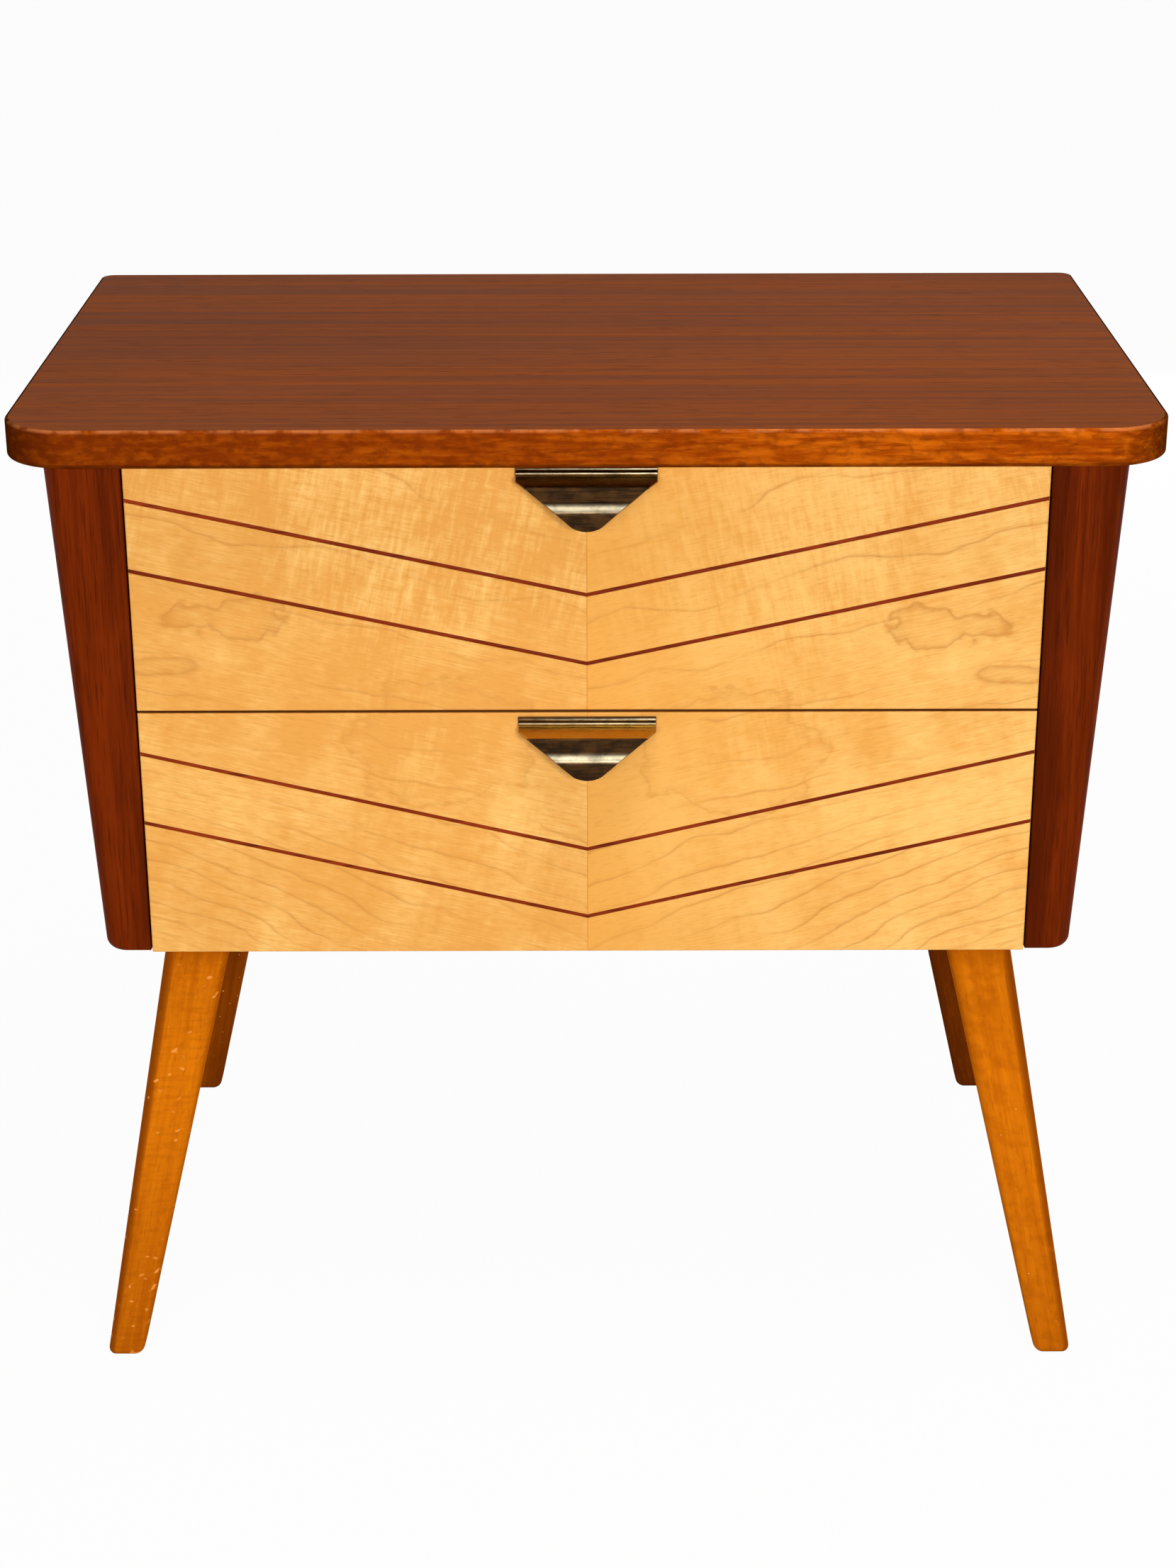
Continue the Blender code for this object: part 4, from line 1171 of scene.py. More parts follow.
@dataclass
class SidePanel:
    """A side panel: upright inside, leaning outside, round at its foot and its front arrises."""

    side: Side
    inner: float = 0.2424
    top_thickness: float = 0.041
    bottom_thickness: float = 0.0245
    foot_radius: float = 0.007
    outer_round: float = 0.012
    outer_depth: float = 0.007
    foot_share: float = 0.15
    inner_round: float = 0.0026
    inner_depth: float = 0.0018
    back_round: float = 0.0008
    rebate_width: float = 0.007
    rebate_depth: float = 0.004
    flat_margin: float = 0.0004
    steps: int = 10

    def sections(self, outer_inset: np.ndarray, inner_inset: np.ndarray, low: float,
                 high: float) -> np.ndarray:
        """Draws sections through the panel, one for each pair of insets.

        A section runs from the inner foot round the foot's arc, up the leaning face and across the
        top. The leaning face's inset is measured square to it. The lower edge rises by a share of
        that inset, and the arc, which meets both, is smaller by as much.

        Args:
            outer_inset: How far each section's leaning face is drawn in.
            inner_inset: How far each section's upright face is drawn in.
            low: The panel's lower edge.
            high: The panel's upper edge.

        Returns:
            Points of shape (sections, points, 2), in X and Z.
        """
        outer, inner = outer_inset[:, None], inner_inset[:, None]
        lean = math.atan((self.top_thickness - self.bottom_thickness) / (high - low))
        rise = outer * self.foot_share
        radius = self.foot_radius - rise
        turn = np.linspace(-QUARTER, -lean, self.steps + 1)[None, :]
        square = self.inner + self.bottom_thickness + (rise + radius) * math.tan(lean)
        x = np.concatenate(
            (
                self.inner + inner,
                square - (outer + radius) / math.cos(lean) + radius * np.cos(turn),
                self.inner + self.top_thickness - outer / math.cos(lean),
                self.inner + inner,
            ),
            axis=1,
        )
        top = np.full_like(outer, high)
        arc = low + rise + radius + radius * np.sin(turn)
        z = np.concatenate((low + rise, arc, top, top), axis=1)
        return np.stack((self.side.value * x, z), axis=-1)

    def inset(self, depth: np.ndarray, arris_width: float, arris_depth: float) -> np.ndarray:
        """Finds how far a quarter-elliptical arris is drawn in, with a flat rim at the very front.

        Args:
            depth: Depths behind the front, the first of them 0.
            arris_width: The ellipse's size across the panel.
            arris_depth: The ellipse's size from front to back.

        Returns:
            The inset at each depth.
        """
        to_go = np.clip(1.0 - depth / arris_depth, 0.0, 1.0)
        inset = arris_width * (1.0 - np.sqrt(1.0 - to_go**2))
        inset[0] = arris_width + self.flat_margin
        return inset

    def stations(self, front: float, back: float) -> tuple[np.ndarray, np.ndarray, np.ndarray]:
        """Finds where the sections stand and how far each is drawn in, from front to back.

        Both front arrises are quarter ellipses, the outer one the larger. At the back the inner
        face steps out into the rebate of the back panel.

        Args:
            front: The panel's front.
            back: The panel's back.

        Returns:
            The Y of each section, its outer inset and its inner inset.
        """
        outer_depths = quarter_round(self.outer_depth, self.steps)[0]
        inner_depths = quarter_round(self.inner_depth, self.steps)[0]
        depth = np.sort(np.concatenate(([0.0], outer_depths, inner_depths[1:])))
        outer = self.inset(depth, self.outer_round, self.outer_depth)
        inner = self.inset(depth, self.inner_round, self.inner_depth)
        ledge = back - self.rebate_depth - FIT_GAP
        y = np.concatenate((front + depth, [ledge, ledge, back - self.back_round, back]))
        outer = np.concatenate((outer, [0.0, 0.0, 0.0, self.back_round]))
        rebate = self.rebate_width
        inner = np.concatenate((inner, [0.0, rebate, rebate, rebate]))
        return y, outer, inner

    def build(self, palette: Palette) -> None:
        """Makes the panel.

        Args:
            palette: The finished materials.
        """
        node = f"side_panel_{self.side.word}"
        low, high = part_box(node)
        y, outer, inner = self.stations(low.y, high.y)
        flat = self.sections(outer, inner, low.z, high.z)
        along = np.broadcast_to(y[:, None], flat.shape[:2])
        rings = np.stack((flat[..., 0], along, flat[..., 1]), axis=-1)
        veneer = palette[Finish.SIDE_VENEER]
        add_piece(f"tapered_{node}", loft(rings), veneer, "mahogany", "case", node)


@dataclass
class DrawerFront:
    """A drawer front with soft arrises and two V-shaped grooves, and the strings in them."""

    drawer: Drawer
    string_heights: Span
    pitch: float
    string_width: float = 0.0020
    string_recess: float = 0.00012
    string_crown: float = 0.00010
    string_depth: float = 0.0011
    groove_margin: float = 0.0001
    groove_depth: float = 0.0012
    groove_wall: float = 0.00005
    arris: float = 0.0009
    arris_steps: int = 5
    flat_margin: float = 0.0006
    tail_zone: float = 0.0068
    tail_proud: float = 0.0003
    first_column: float = 0.012
    columns: int = 24
    fill_shares: Span = (1 / 3, 2 / 3)
    string_steps: int = 6

    def string_levels(self, x: np.ndarray, low: float) -> list[np.ndarray]:
        """Returns each string's middle over X: its height at X = 0 plus |x| times its slope."""
        return [low + height + np.abs(x) * math.tan(self.pitch) for height in self.string_heights]

    def between(self, start: np.ndarray, end: np.ndarray) -> list[np.ndarray]:
        """Returns the rows that fill the face between two others."""
        return [start + (end - start) * share for share in self.fill_shares]

    def face(self, low: Vector, high: Vector) -> np.ndarray:
        """Draws the face as a grid whose rows follow the strings.

        Rows are level at the lower and upper arris, slope with the strings at the grooves, and
        lie evenly between. The depth behind the face is the deepest of arris and groove.

        Args:
            low: The front's lowest corner.
            high: The front's highest corner.

        Returns:
            Points of shape (rows, columns, 3).
        """
        depth, inset = quarter_round(self.arris, self.arris_steps)
        edge = np.concatenate((inset[::-1], [self.arris + self.flat_margin]))
        sunk = np.concatenate((depth[::-1], [0.0]))
        inside = np.linspace(low.x + self.first_column, 0.0, self.columns)
        half = np.concatenate((low.x + edge, inside))
        x = np.concatenate((half, -half[-2::-1]))
        aside = np.concatenate((sunk, np.zeros(self.columns)))
        aside = np.concatenate((aside, aside[-2::-1]))
        fill = [aside] * len(self.fill_shares)
        reach = (self.string_width / 2 + self.groove_margin) / math.cos(self.pitch)
        floor = reach - self.groove_wall
        rows = [np.full_like(x, low.z + value) for value in edge]
        depths = [np.maximum(value, aside) for value in sunk]
        for level in self.string_levels(x, low.z):
            rows += self.between(rows[-1], level - reach)
            depths += fill
            for offset, share in ((-reach, 0.0), (-floor, 1.0), (floor, 1.0), (reach, 0.0)):
                rows.append(level + offset)
                depths.append(np.maximum(aside, share * self.groove_depth))
        rows += self.between(rows[-1], high.z - edge[-1])
        depths += fill
        for value, back in zip(edge[::-1], sunk[::-1]):
            rows.append(np.full_like(x, high.z - value))
            depths.append(np.maximum(back, aside))
        z = np.stack(rows)
        return np.stack((np.broadcast_to(x, z.shape), low.y + np.stack(depths), z), axis=-1)

    def board(self, low: Vector, high: Vector) -> Shape:
        """Joins the face's grid, a skirt from its border to the back, and a flat back.

        Behind the tails' front ends the board is a little shorter, so that the tails stand proud.

        Args:
            low: The front's lowest corner.
            high: The front's highest corner.

        Returns:
            The closed board.
        """
        face = self.face(low, high)
        rows, columns, _ = face.shape
        number = np.arange(rows * columns).reshape(rows, columns)
        border = np.concatenate(
            (number[0, :-1], number[:-1, -1], number[-1, :0:-1], number[:0:-1, 0])
        )
        around = len(border)
        points = face.reshape(-1, 3)
        rim = points[border]
        reach = high.x - self.tail_proud
        shorter = np.stack((np.clip(rim[:, 0], -reach, reach), rim[:, 1], rim[:, 2]), axis=-1)
        tails = low.y + self.tail_zone
        skirt = [
            np.stack((outline[:, 0], np.full(around, y), outline[:, 2]), axis=-1)
            for outline, y in ((rim, tails), (shorter, tails), (shorter, high.y))
        ]
        names = np.concatenate((border, len(points) + np.arange(len(skirt) * around)))
        faces = quads(rows, columns, wrap_columns=False).tolist()
        faces += names[quads(len(skirt) + 1, around)].tolist()
        faces.append(names[-around:].tolist())
        return Shape(np.concatenate((points, *skirt)), faces)

    def string(self, level: np.ndarray, x: np.ndarray, front: float) -> Shape:
        """Carries a flat bar with a slightly crowned face along the V.

        The face's depth is the recess plus the crown times the square of the distance from its
        middle.

        Args:
            level: The height of the string's middle at each X.
            x: Where its sections stand.
            front: The Y of the drawer front's face.

        Returns:
            The closed string.
        """
        across = np.linspace(-1.0, 1.0, self.string_steps + 1)
        rise = across * self.string_width / 2 / math.cos(self.pitch)
        sunk = self.string_recess + self.string_crown * across**2
        rise = np.concatenate((rise, rise[[-1, 0]]))
        sunk = np.concatenate((sunk, [self.string_depth, self.string_depth]))
        z = level[:, None] + rise[None, :]
        places = np.broadcast_arrays(x[:, None], front + sunk[None, :], z)
        return loft(np.stack(places, axis=-1))

    def build(self, palette: Palette) -> None:
        """Makes the front and its strings.

        Args:
            palette: The finished materials.
        """
        name, body = self.drawer.value, self.drawer.body
        low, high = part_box(f"{name}_front")
        board = self.board(low, high)
        maple = palette[Finish.MAPLE]
        add_piece(f"veneered_{name}_front", board, maple, "maple", body, f"{name}_front")
        reach = high.x - FIT_GAP
        x = np.array([-reach, 0.0, reach])
        for word, level in zip(("low", "high"), self.string_levels(x, low.z)):
            node = f"{name}_string_{word}"
            string = self.string(level, x, low.y)
            add_piece(f"inlaid_{node}", string, palette[Finish.STRING], "string", body, node)


@dataclass
class HoodPull:
    """A pull of sheet brass: a reeded flange, a sloping ledge, and a V-shaped apron that rolls out.

    The runs of the profile are points of (projection, drop). The ledge_reflection_share is how much
    painted reflection of the maple the ledge takes, less on the upper pull, as painted shade under
    the top. The pairs of painted highlights, partly polish, are for the upper reed and the lower
    one.
    """

    drawer: Drawer
    # How much painted reflection of the maple the ledge takes.
    ledge_reflection_share: float = 1.0
    sheet: float = 0.0016
    half_width: float = 0.037
    flange: float = 0.0049
    flange_points: int = 33
    reeds: int = 2
    reed_height: float = 0.0005
    apron_half: float = 0.033
    apron_start: float = 0.0126
    apron_slope: float = 1.128
    apron_lean: float = 0.4
    tip_radius: float = 0.0140
    edge: float = 0.0004
    across: int = 13
    soft_rounds: int = 3
    ledge: tuple[Span, ...] = ((0.0008, 0.0049), (0.0050, 0.0062), (0.0126, 0.0084))
    apron: tuple[Span, ...] = ((0.0126, 0.0084), (0.0127, 0.0110), (0.0128, 0.0156))
    roll: tuple[Span, ...] = (
        (0.0128, 0.0156), (0.0151, 0.0187), (0.0159, 0.0202), (0.0162, 0.0222), (0.0161, 0.0270),
        (0.0158, 0.0306),
    )
    # Painted highlights on the roll and the reeds, partly polish, growing to the right on the
    # reeds.
    roll_highlight_drop: float = 0.0186
    roll_highlight_width: float = 0.0012
    reed_highlight: Span = (0.35, 0.55)
    reed_light_lean: Span = (0.9, 0.4)
    reed_highlight_power: int = 6

    def profile(self) -> np.ndarray:
        """Draws the middle of the sheet: the flange, then three softened runs that meet in corners.

        Returns:
            Points of (projection, drop), from the top down.
        """
        drop = np.linspace(0.0, self.flange, self.flange_points)
        flange = np.stack((np.full_like(drop, self.sheet / 2), drop), axis=-1)
        runs = (self.ledge, self.apron, self.roll)
        runs = [smoothed(np.array(run), self.soft_rounds)[1:] for run in runs]
        return np.concatenate((flange, *runs))

    def half_at(self, profile: np.ndarray) -> np.ndarray:
        """Finds half the pull's width: full, then the V's straight edge, then the tip's circle.

        The straight edge narrows by its slope with the drop plus a share of the projection. The
        circle takes over where the straight edge touches it.

        Args:
            profile: Points of (projection, drop).

        Returns:
            The half width at each point.
        """
        drop = profile[:, 1]
        run = drop + self.apron_lean * profile[:, 0]
        straight = self.apron_half - self.apron_slope * (run - self.apron_start)
        left = np.maximum(drop[-1] - drop, 0.0)
        tip = np.sqrt(np.maximum(2 * self.tip_radius * left - left**2, 0.0)) + self.edge
        touch = self.tip_radius * (1.0 - self.apron_slope / math.hypot(1.0, self.apron_slope))
        tip = np.where(left < touch, tip, self.half_width)
        return np.minimum(np.minimum(straight, self.half_width), tip)

    def rubbed(self, drop: np.ndarray, wave: np.ndarray, spread: np.ndarray) -> np.ndarray:
        """Finds the painted highlights on the sheet's outer side, partly polish from use.

        On a reed it is a power of the reed's wave, stronger to the right, as if lit from the right.
        On the roll it is e to the power of minus the square of the distance from its line, in its
        widths.

        Args:
            drop: The profile's drop at each ring.
            wave: The reeds' wave at each ring.
            spread: The place across, from -1 to 1, of shape (1, points).

        Returns:
            The painted highlights, of shape (rings, points).
        """
        upper, lower = self.reed_highlight
        upper_lean, lower_lean = self.reed_light_lean
        on_lower = drop > self.flange / self.reeds
        reed = (wave**self.reed_highlight_power * np.where(on_lower, lower, upper))[:, None]
        reed = reed + reed * np.where(on_lower, lower_lean, upper_lean)[:, None] * spread
        roll = np.exp(-(((drop - self.roll_highlight_drop) / self.roll_highlight_width) ** 2))
        return np.maximum(reed, roll[:, None])

    def shape(self, top: float, front: float) -> Shape:
        """Draws the sheet as rings round its section, one at each point of the profile.

        A ring is the profile's point plus and minus half the sheet along the profile's normal, with
        small chamfers at both ends. Reeds are |sin| waves on the outer side of the flange.

        Args:
            top: The Z of the pull's upper edge.
            front: The Y of the drawer front's face.

        Returns:
            The closed pull.
        """
        profile = self.profile()
        drop = profile[:, 1]
        along = np.gradient(profile, axis=0)
        along /= np.linalg.norm(along, axis=1, keepdims=True)
        normal = np.stack((along[:, 1], -along[:, 0]), axis=-1)
        half = self.half_at(profile)
        chamfer = np.minimum(self.edge, half / 2)
        wave = np.abs(np.sin(np.pi * self.reeds * drop / self.flange)) * (drop <= self.flange)
        outer = self.sheet / 2 + self.reed_height * wave
        inner = -np.full_like(outer, self.sheet / 2)
        spread = np.linspace(-1.0, 1.0, self.across)[None, :]
        flat = (half - chamfer)[:, None] * spread
        side = np.stack((half, half), axis=-1)
        x = np.concatenate((flat, side, -flat, -side), axis=1)
        bevel = np.stack((outer - chamfer, inner + chamfer), axis=-1)
        ones = np.ones_like(spread)
        off = np.concatenate(
            (outer[:, None] * ones, bevel, inner[:, None] * ones, bevel[:, ::-1]), axis=1
        )
        place = profile[:, None, :] + normal[:, None, :] * off[..., None]
        shape = loft(np.stack((x, front - FIT_GAP - place[..., 0], top - place[..., 1]), axis=-1))
        # Painted highlights on the outer side, partly polish.
        wear_and_light = np.zeros_like(x)
        wear_and_light[:, : self.across] = self.rubbed(drop, wave, spread)
        shape.wear_and_light = wear_and_light.ravel()
        # Painted reflection of the maple on the ledge.
        ledge_reflection = (drop > self.flange) & (drop < self.ledge[-1][1])
        shape.tone = self.ledge_reflection_share * np.broadcast_to(ledge_reflection[:, None], x.shape).astype(float).ravel()
        return shape

    def build(self, palette: Palette) -> None:
        """Makes the pull.

        Args:
            palette: The finished materials.
        """
        node = f"{self.drawer.value}_pull"
        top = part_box(node)[1].z
        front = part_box(f"{self.drawer.value}_front")[0].y
        pull = self.shape(top, front)
        add_piece(f"hooded_{node}", pull, palette[Finish.BRASS], "brass", self.drawer.body, node)


@dataclass
class Leg:
    """A leg, square with round corners, that tapers and leans out both ways towards the floor."""

    side: Side
    end: End
    top_out: float = 0.2184
    back_tuck: float = 0.007
    top_front: float = -0.1072
    top_back: float = 0.1165
    height: float = 0.252
    top_size: float = 0.0366
    foot_size: float = 0.0204
    corner: float = 0.0064
    foot_corner_share: float = 0.75
    foot_round: float = 0.0045
    splay: float = math.radians(11.55)
    grain_shift: Span = (1.3, 2.9)
    # Painted shade at the corners and under the case, and darkening towards a front leg's foot.
    inner_corner_shade: float = 0.2
    back_corner_shade: float = 0.2
    contact_shadow_reach: float = 0.024
    shade_reach: float = 0.17
    foot_darkening: float = 0.42
    foot_darkening_reach: float = 0.17
    corner_steps: int = 10
    foot_steps: int = 6
    rows: int = 64

    @property
    def node(self) -> str:
        """The frame's node that the leg replaces."""
        return f"leg_{self.end.word}_{self.side.word}"

    def axis(self, height: np.ndarray) -> tuple[np.ndarray, np.ndarray]:
        """Finds the leg's middle: its top plus the lean for the way down.

        Args:
            height: Heights above the floor.

        Returns:
            The middle's X and Y at each height.
        """
        lean = (self.height - height) * math.tan(self.splay)
        out = self.top_out - (self.back_tuck if self.end is End.BACK else 0.0)
        deep = self.top_front if self.end is End.FRONT else self.top_back
        return self.side.value * (out + lean), deep + self.end.value * lean

    def size(self, height: np.ndarray) -> np.ndarray:
        """Returns the width of the leg's section at a height."""
        return self.foot_size + (self.top_size - self.foot_size) * height / self.height

    def wear_and_light(self, height: np.ndarray) -> np.ndarray:
        """Finds where the leg is painted darker.

        Painted shade lies along its corners, most along a front leg's outer ones, where the round
        turns from the light. A painted shadow lies at the top, close under the case on a front leg
        and far down a back one. A front leg is also darker towards its foot.

        Args:
            height: The rings' heights.

        Returns:
            The darkening, of shape (rings, points).
        """
        in_front = self.end is End.FRONT
        # Painted shade along the corners, where the round turns from the light.
        outside = CORNER_SIDES == self.side.value
        along = np.where(outside & in_front, 1.0, self.inner_corner_shade if in_front else self.back_corner_shade)
        arc = np.sqrt(np.sin(np.linspace(0.0, math.pi, self.corner_steps + 1)).clip(0.0))
        # Painted shadow under the case: short on a front leg, far down a back one.
        reach = self.contact_shadow_reach if in_front else self.shade_reach
        darkening_by_height = np.clip(1.0 - (self.height - height) / reach, 0.0, 1.0)
        if in_front:
            # Darker towards a front leg's foot.
            darker_foot = self.foot_darkening * np.clip(1.0 - height / self.foot_darkening_reach, 0.0, 1.0)
            darkening_by_height = np.maximum(darkening_by_height, darker_foot)
        return np.maximum((along[:, None] * arc).ravel()[None, :], darkening_by_height[:, None])

    def shape(self) -> Shape:
        """Draws rounded squares, drawn in at the foot's arris, at each height on the leaning axis.

        Returns:
            The closed leg, with its grain along its own axis.
        """
        foot, inset = quarter_round(self.foot_round, self.foot_steps)
        above = np.linspace(self.foot_round, self.height - FIT_GAP, self.rows)[1:]
        height = np.concatenate((foot, above))
        inset = np.concatenate((inset, np.zeros(self.rows - 1)))
        half = (self.size(height) / 2 - inset)[:, None]
        up_share = (1.0 - self.foot_corner_share) * height / self.height
        radius = (self.corner * (self.foot_corner_share + up_share) - inset)[:, None]
        flat = rounded_outline(half, -half, half, radius, radius, self.corner_steps)
        middle = np.stack(self.axis(height), axis=-1)[:, None, :]
        upright = np.broadcast_to(height[:, None, None], (*flat.shape[:2], 1))
        shape = loft(np.concatenate((flat + middle, upright), axis=-1))
        by_side, by_end = self.grain_shift
        shift = by_side * self.side.value + by_end * self.end.value
        shape.grain = np.concatenate((flat + shift, upright + shift), axis=-1).reshape(-1, 3)
        shape.wear_and_light = self.wear_and_light(height).ravel()
        return shape

    def build(self, palette: Palette) -> None:
        """Makes the leg.

        The front left one has had the most knocks. The back ones take painted shade, the right one
        most.

        Args:
            palette: The finished materials.
        """
        on_left = self.side is Side.LEFT
        finish = Finish.RUBBED_LEG_BEECH if on_left else Finish.LEG_BEECH
        # The back legs take painted shade: darker copies of the beech.
        if self.end is End.BACK:
            finish = Finish.SHADED_LEG_BEECH if on_left else Finish.DEEP_SHADE_LEG_BEECH
        beech = palette[finish]
        add_piece(f"splayed_{self.node}", self.shape(), beech, "leg_beech", "case", self.node)


@dataclass
class BaseRail:
    """The rail between the legs of one side, with soft arrises and ends cut to the legs' lean."""

    side: Side
    arris: float = 0.0018
    arris_steps: int = 5
    end_gap: float = 0.00004
    grain_shift: float = 5.0

    def build(self, palette: Palette) -> None:
        """Makes the rail: a rounded rectangle, carried from the front leg to the back one.

        Args:
            palette: The finished materials.
        """
        node = f"base_rail_{self.side.word}"
        low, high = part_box(node)
        half, middle = (high.x - low.x) / 2, (high.x + low.x) / 2
        sizes = (np.full((1, 1), value) for value in (half, low.z, high.z, self.arris, self.arris))
        flat = rounded_outline(*sizes, self.arris_steps)[0]
        rings = []
        for end in End:
            leg = Leg(self.side, end)
            y = leg.axis(flat[:, 1])[1] - end.value * (leg.size(flat[:, 1]) / 2 + self.end_gap)
            rings.append(np.stack((flat[:, 0] + middle, y, flat[:, 1]), axis=-1))
        shape = loft(np.stack(rings))
        shape.grain = shape.points[:, [0, 2, 1]] + self.grain_shift
        shape.wear_and_light = np.zeros(len(shape.points))
        add_piece(f"eased_{node}", shape, palette[Finish.LEG_BEECH], "leg_beech", "case", node)


@dataclass
class SlottedScrew:
    """A countersunk screw with a slotted head, in place of one of the frame's plain screws."""

    node: str
    body: str
    driven: Triple
    proud: float = 0.0
    slot_half: float = 0.00035
    slot_wall: float = 0.00003
    slot_depth: float = 0.0007
    rim_share: float = 0.97
    head_edge: float = 0.0009
    cone: float = 0.62
    neck: float = 0.0006
    shank_share: float = 0.5
    point_length: float = 0.003
    point_share: float = 0.25
    chords: int = 9

    def rings(self, radius: float, length: float) -> tuple[np.ndarray, np.ndarray, np.ndarray]:
        """Draws the head's rim and the rings below it, down to the point.

        The rim's points are the ends of chords of the head's circle, so the slot's walls are
        straight. Each ring has the rim's own angles at another radius.

        Args:
            radius: The head's radius.
            length: The screw's length.

        Returns:
            The place across the slot, along it, and down the screw, each of shape (rings, points).
        """
        away = np.linspace(self.slot_half + self.slot_wall, self.rim_share * radius, self.chords)
        half = np.concatenate(([self.slot_half], away))
        across = np.concatenate((-half[::-1], half))
        sunk = np.where(np.abs(across) <= self.slot_half, self.slot_depth, 0.0) - self.proud
        chord = np.sqrt(radius**2 - across**2)
        rim_u = np.concatenate((across, across[::-1]))
        rim_v = np.concatenate((-chord, chord[::-1]))
        rim_depth = np.concatenate((sunk, sunk[::-1]))
        shank = radius * self.shank_share
        stations = (
            (radius, self.head_edge),
            (shank, radius * self.cone + self.neck),
            (shank, length - self.point_length),
            (shank * self.point_share, length),
        )
        u = np.stack([rim_u] + [rim_u / radius * size for size, _ in stations])
        v = np.stack([rim_v] + [rim_v / radius * size for size, _ in stations])
        depth = np.stack([rim_depth] + [np.full_like(rim_depth, value) for _, value in stations])
        return u, v, depth

    def shape(self) -> Shape:
        """Skins the rings, covers the head with strips between the chords, and caps the point.

        The strip in the middle is sunk, and is the slot's floor.

        Returns:
            The closed screw.
        """
        low, high = (np.array(corner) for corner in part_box(self.node))
        axis = np.array(self.driven)
        number = int(np.argmax(np.abs(axis)))
        others = [item for item in range(3) if item != number]
        head = (low + high) / 2
        head[number] = low[number] if axis[number] > 0 else high[number]
        u, v, depth = self.rings((high - low)[others].max() / 2, high[number] - low[number])
        count, around = u.shape
        points = np.zeros((count, around, 3))
        points[..., others[0]] = u
        points[..., others[1]] = v
        points[..., number] = depth * axis[number]
        near = np.arange(around // 2 - 1)
        far = around - 1 - near
        faces = quads(count, around).tolist()
        faces += np.stack((near, near + 1, far - 1, far), axis=-1).tolist()
        faces.append(list(range((count - 1) * around, count * around)))
        shape = Shape(points.reshape(-1, 3) + head, faces)
        shape.wear_and_light = np.zeros(len(shape.points))
        return shape

    def build(self, palette: Palette) -> None:
        """Makes the screw."""
        steel = palette[Finish.STEEL]
        add_piece(f"slotted_{self.node}", self.shape(), steel, "steel", self.body, self.node)


@dataclass
class Fastenings:
    """Every screw of the cabinet, by the start of its node's name, with the way it is driven."""

    driven: dict[str, Triple] = field(
        default_factory=lambda: {
            "top_screw": (0.0, 0.0, 1.0),
            "leg_screw": (0.0, 0.0, -1.0),
            "base_screw": (0.0, 0.0, 1.0),
            "back_screw": (0.0, -1.0, 0.0),
            "upper_pull_screw": (0.0, -1.0, 0.0),
            "lower_pull_screw": (0.0, -1.0, 0.0),
        }
    )
    proud: float = 0.0005

    def build(self, palette: Palette) -> None:
        """Makes the screws. A runner's screws are driven outward, each into its own side.

        Args:
            palette: The finished materials.
        """
        for body, nodes in frame["record"]["behaviour"]["bodies"].items():
            for node in sorted(nodes):
                if node.startswith("runner_screw"):
                    way = (1.0 if "_right_" in node else -1.0, 0.0, 0.0)
                    SlottedScrew(node, body, way).build(palette)
                for start, way in self.driven.items():
                    if node.startswith(start):
                        SlottedScrew(node, body, way, proud=self.proud).build(palette)


@dataclass
class PlainBoards:
    """The frame's own boards that stay as they are and only get a finish."""

    finishes: dict[str, Finish] = field(
        default_factory=lambda: {
            "bottom_panel": Finish.PLYWOOD,
            "back_panel": Finish.PLYWOOD,
            "top_rail": Finish.BEECH_X,
            "runner": Finish.BEECH_Y,
            "upper_side": Finish.BEECH_Y,
            "lower_side": Finish.BEECH_Y,
            "upper_back": Finish.BEECH_X,
            "lower_back": Finish.BEECH_X,
            "upper_bottom": Finish.PLYWOOD,
            "lower_bottom": Finish.PLYWOOD,
        }
    )

    def dress(self, palette: Palette) -> None:
        """Puts each board's finish on its material slots.

        Args:
            palette: The finished materials.
        """
        for name, node in frame["nodes"].items():
            starts = [start for start in self.finishes if name.startswith(start)]
            if node.hide_render or not starts:
                continue
            finish = self.finishes[starts[0]]
            for slot in node.material_slots:
                slot.material = palette[finish]
            LOG.info("%s: keeps its shape, finished as %s", name, finish.name)


@dataclass(frozen=True)
class Lamp:
    """A soft box: where it stands, what it faces, its width and height, and its power in watts."""

    name: str
    stand: Triple
    target: Triple
    size: Span
    power: float

    def build(self) -> None:
        """Puts the lamp into the scene."""
        data = bpy.data.lights.new(self.name, "AREA")
        data.shape = "RECTANGLE"
        data.size, data.size_y = self.size
        data.energy = self.power
        lamp = bpy.data.objects.new(self.name, data)
        lamp.location = self.stand
        way = Vector(self.target) - Vector(self.stand)
        lamp.rotation_euler = way.to_track_quat("-Z", "Y").to_euler()
        bpy.context.scene.collection.objects.link(lamp)


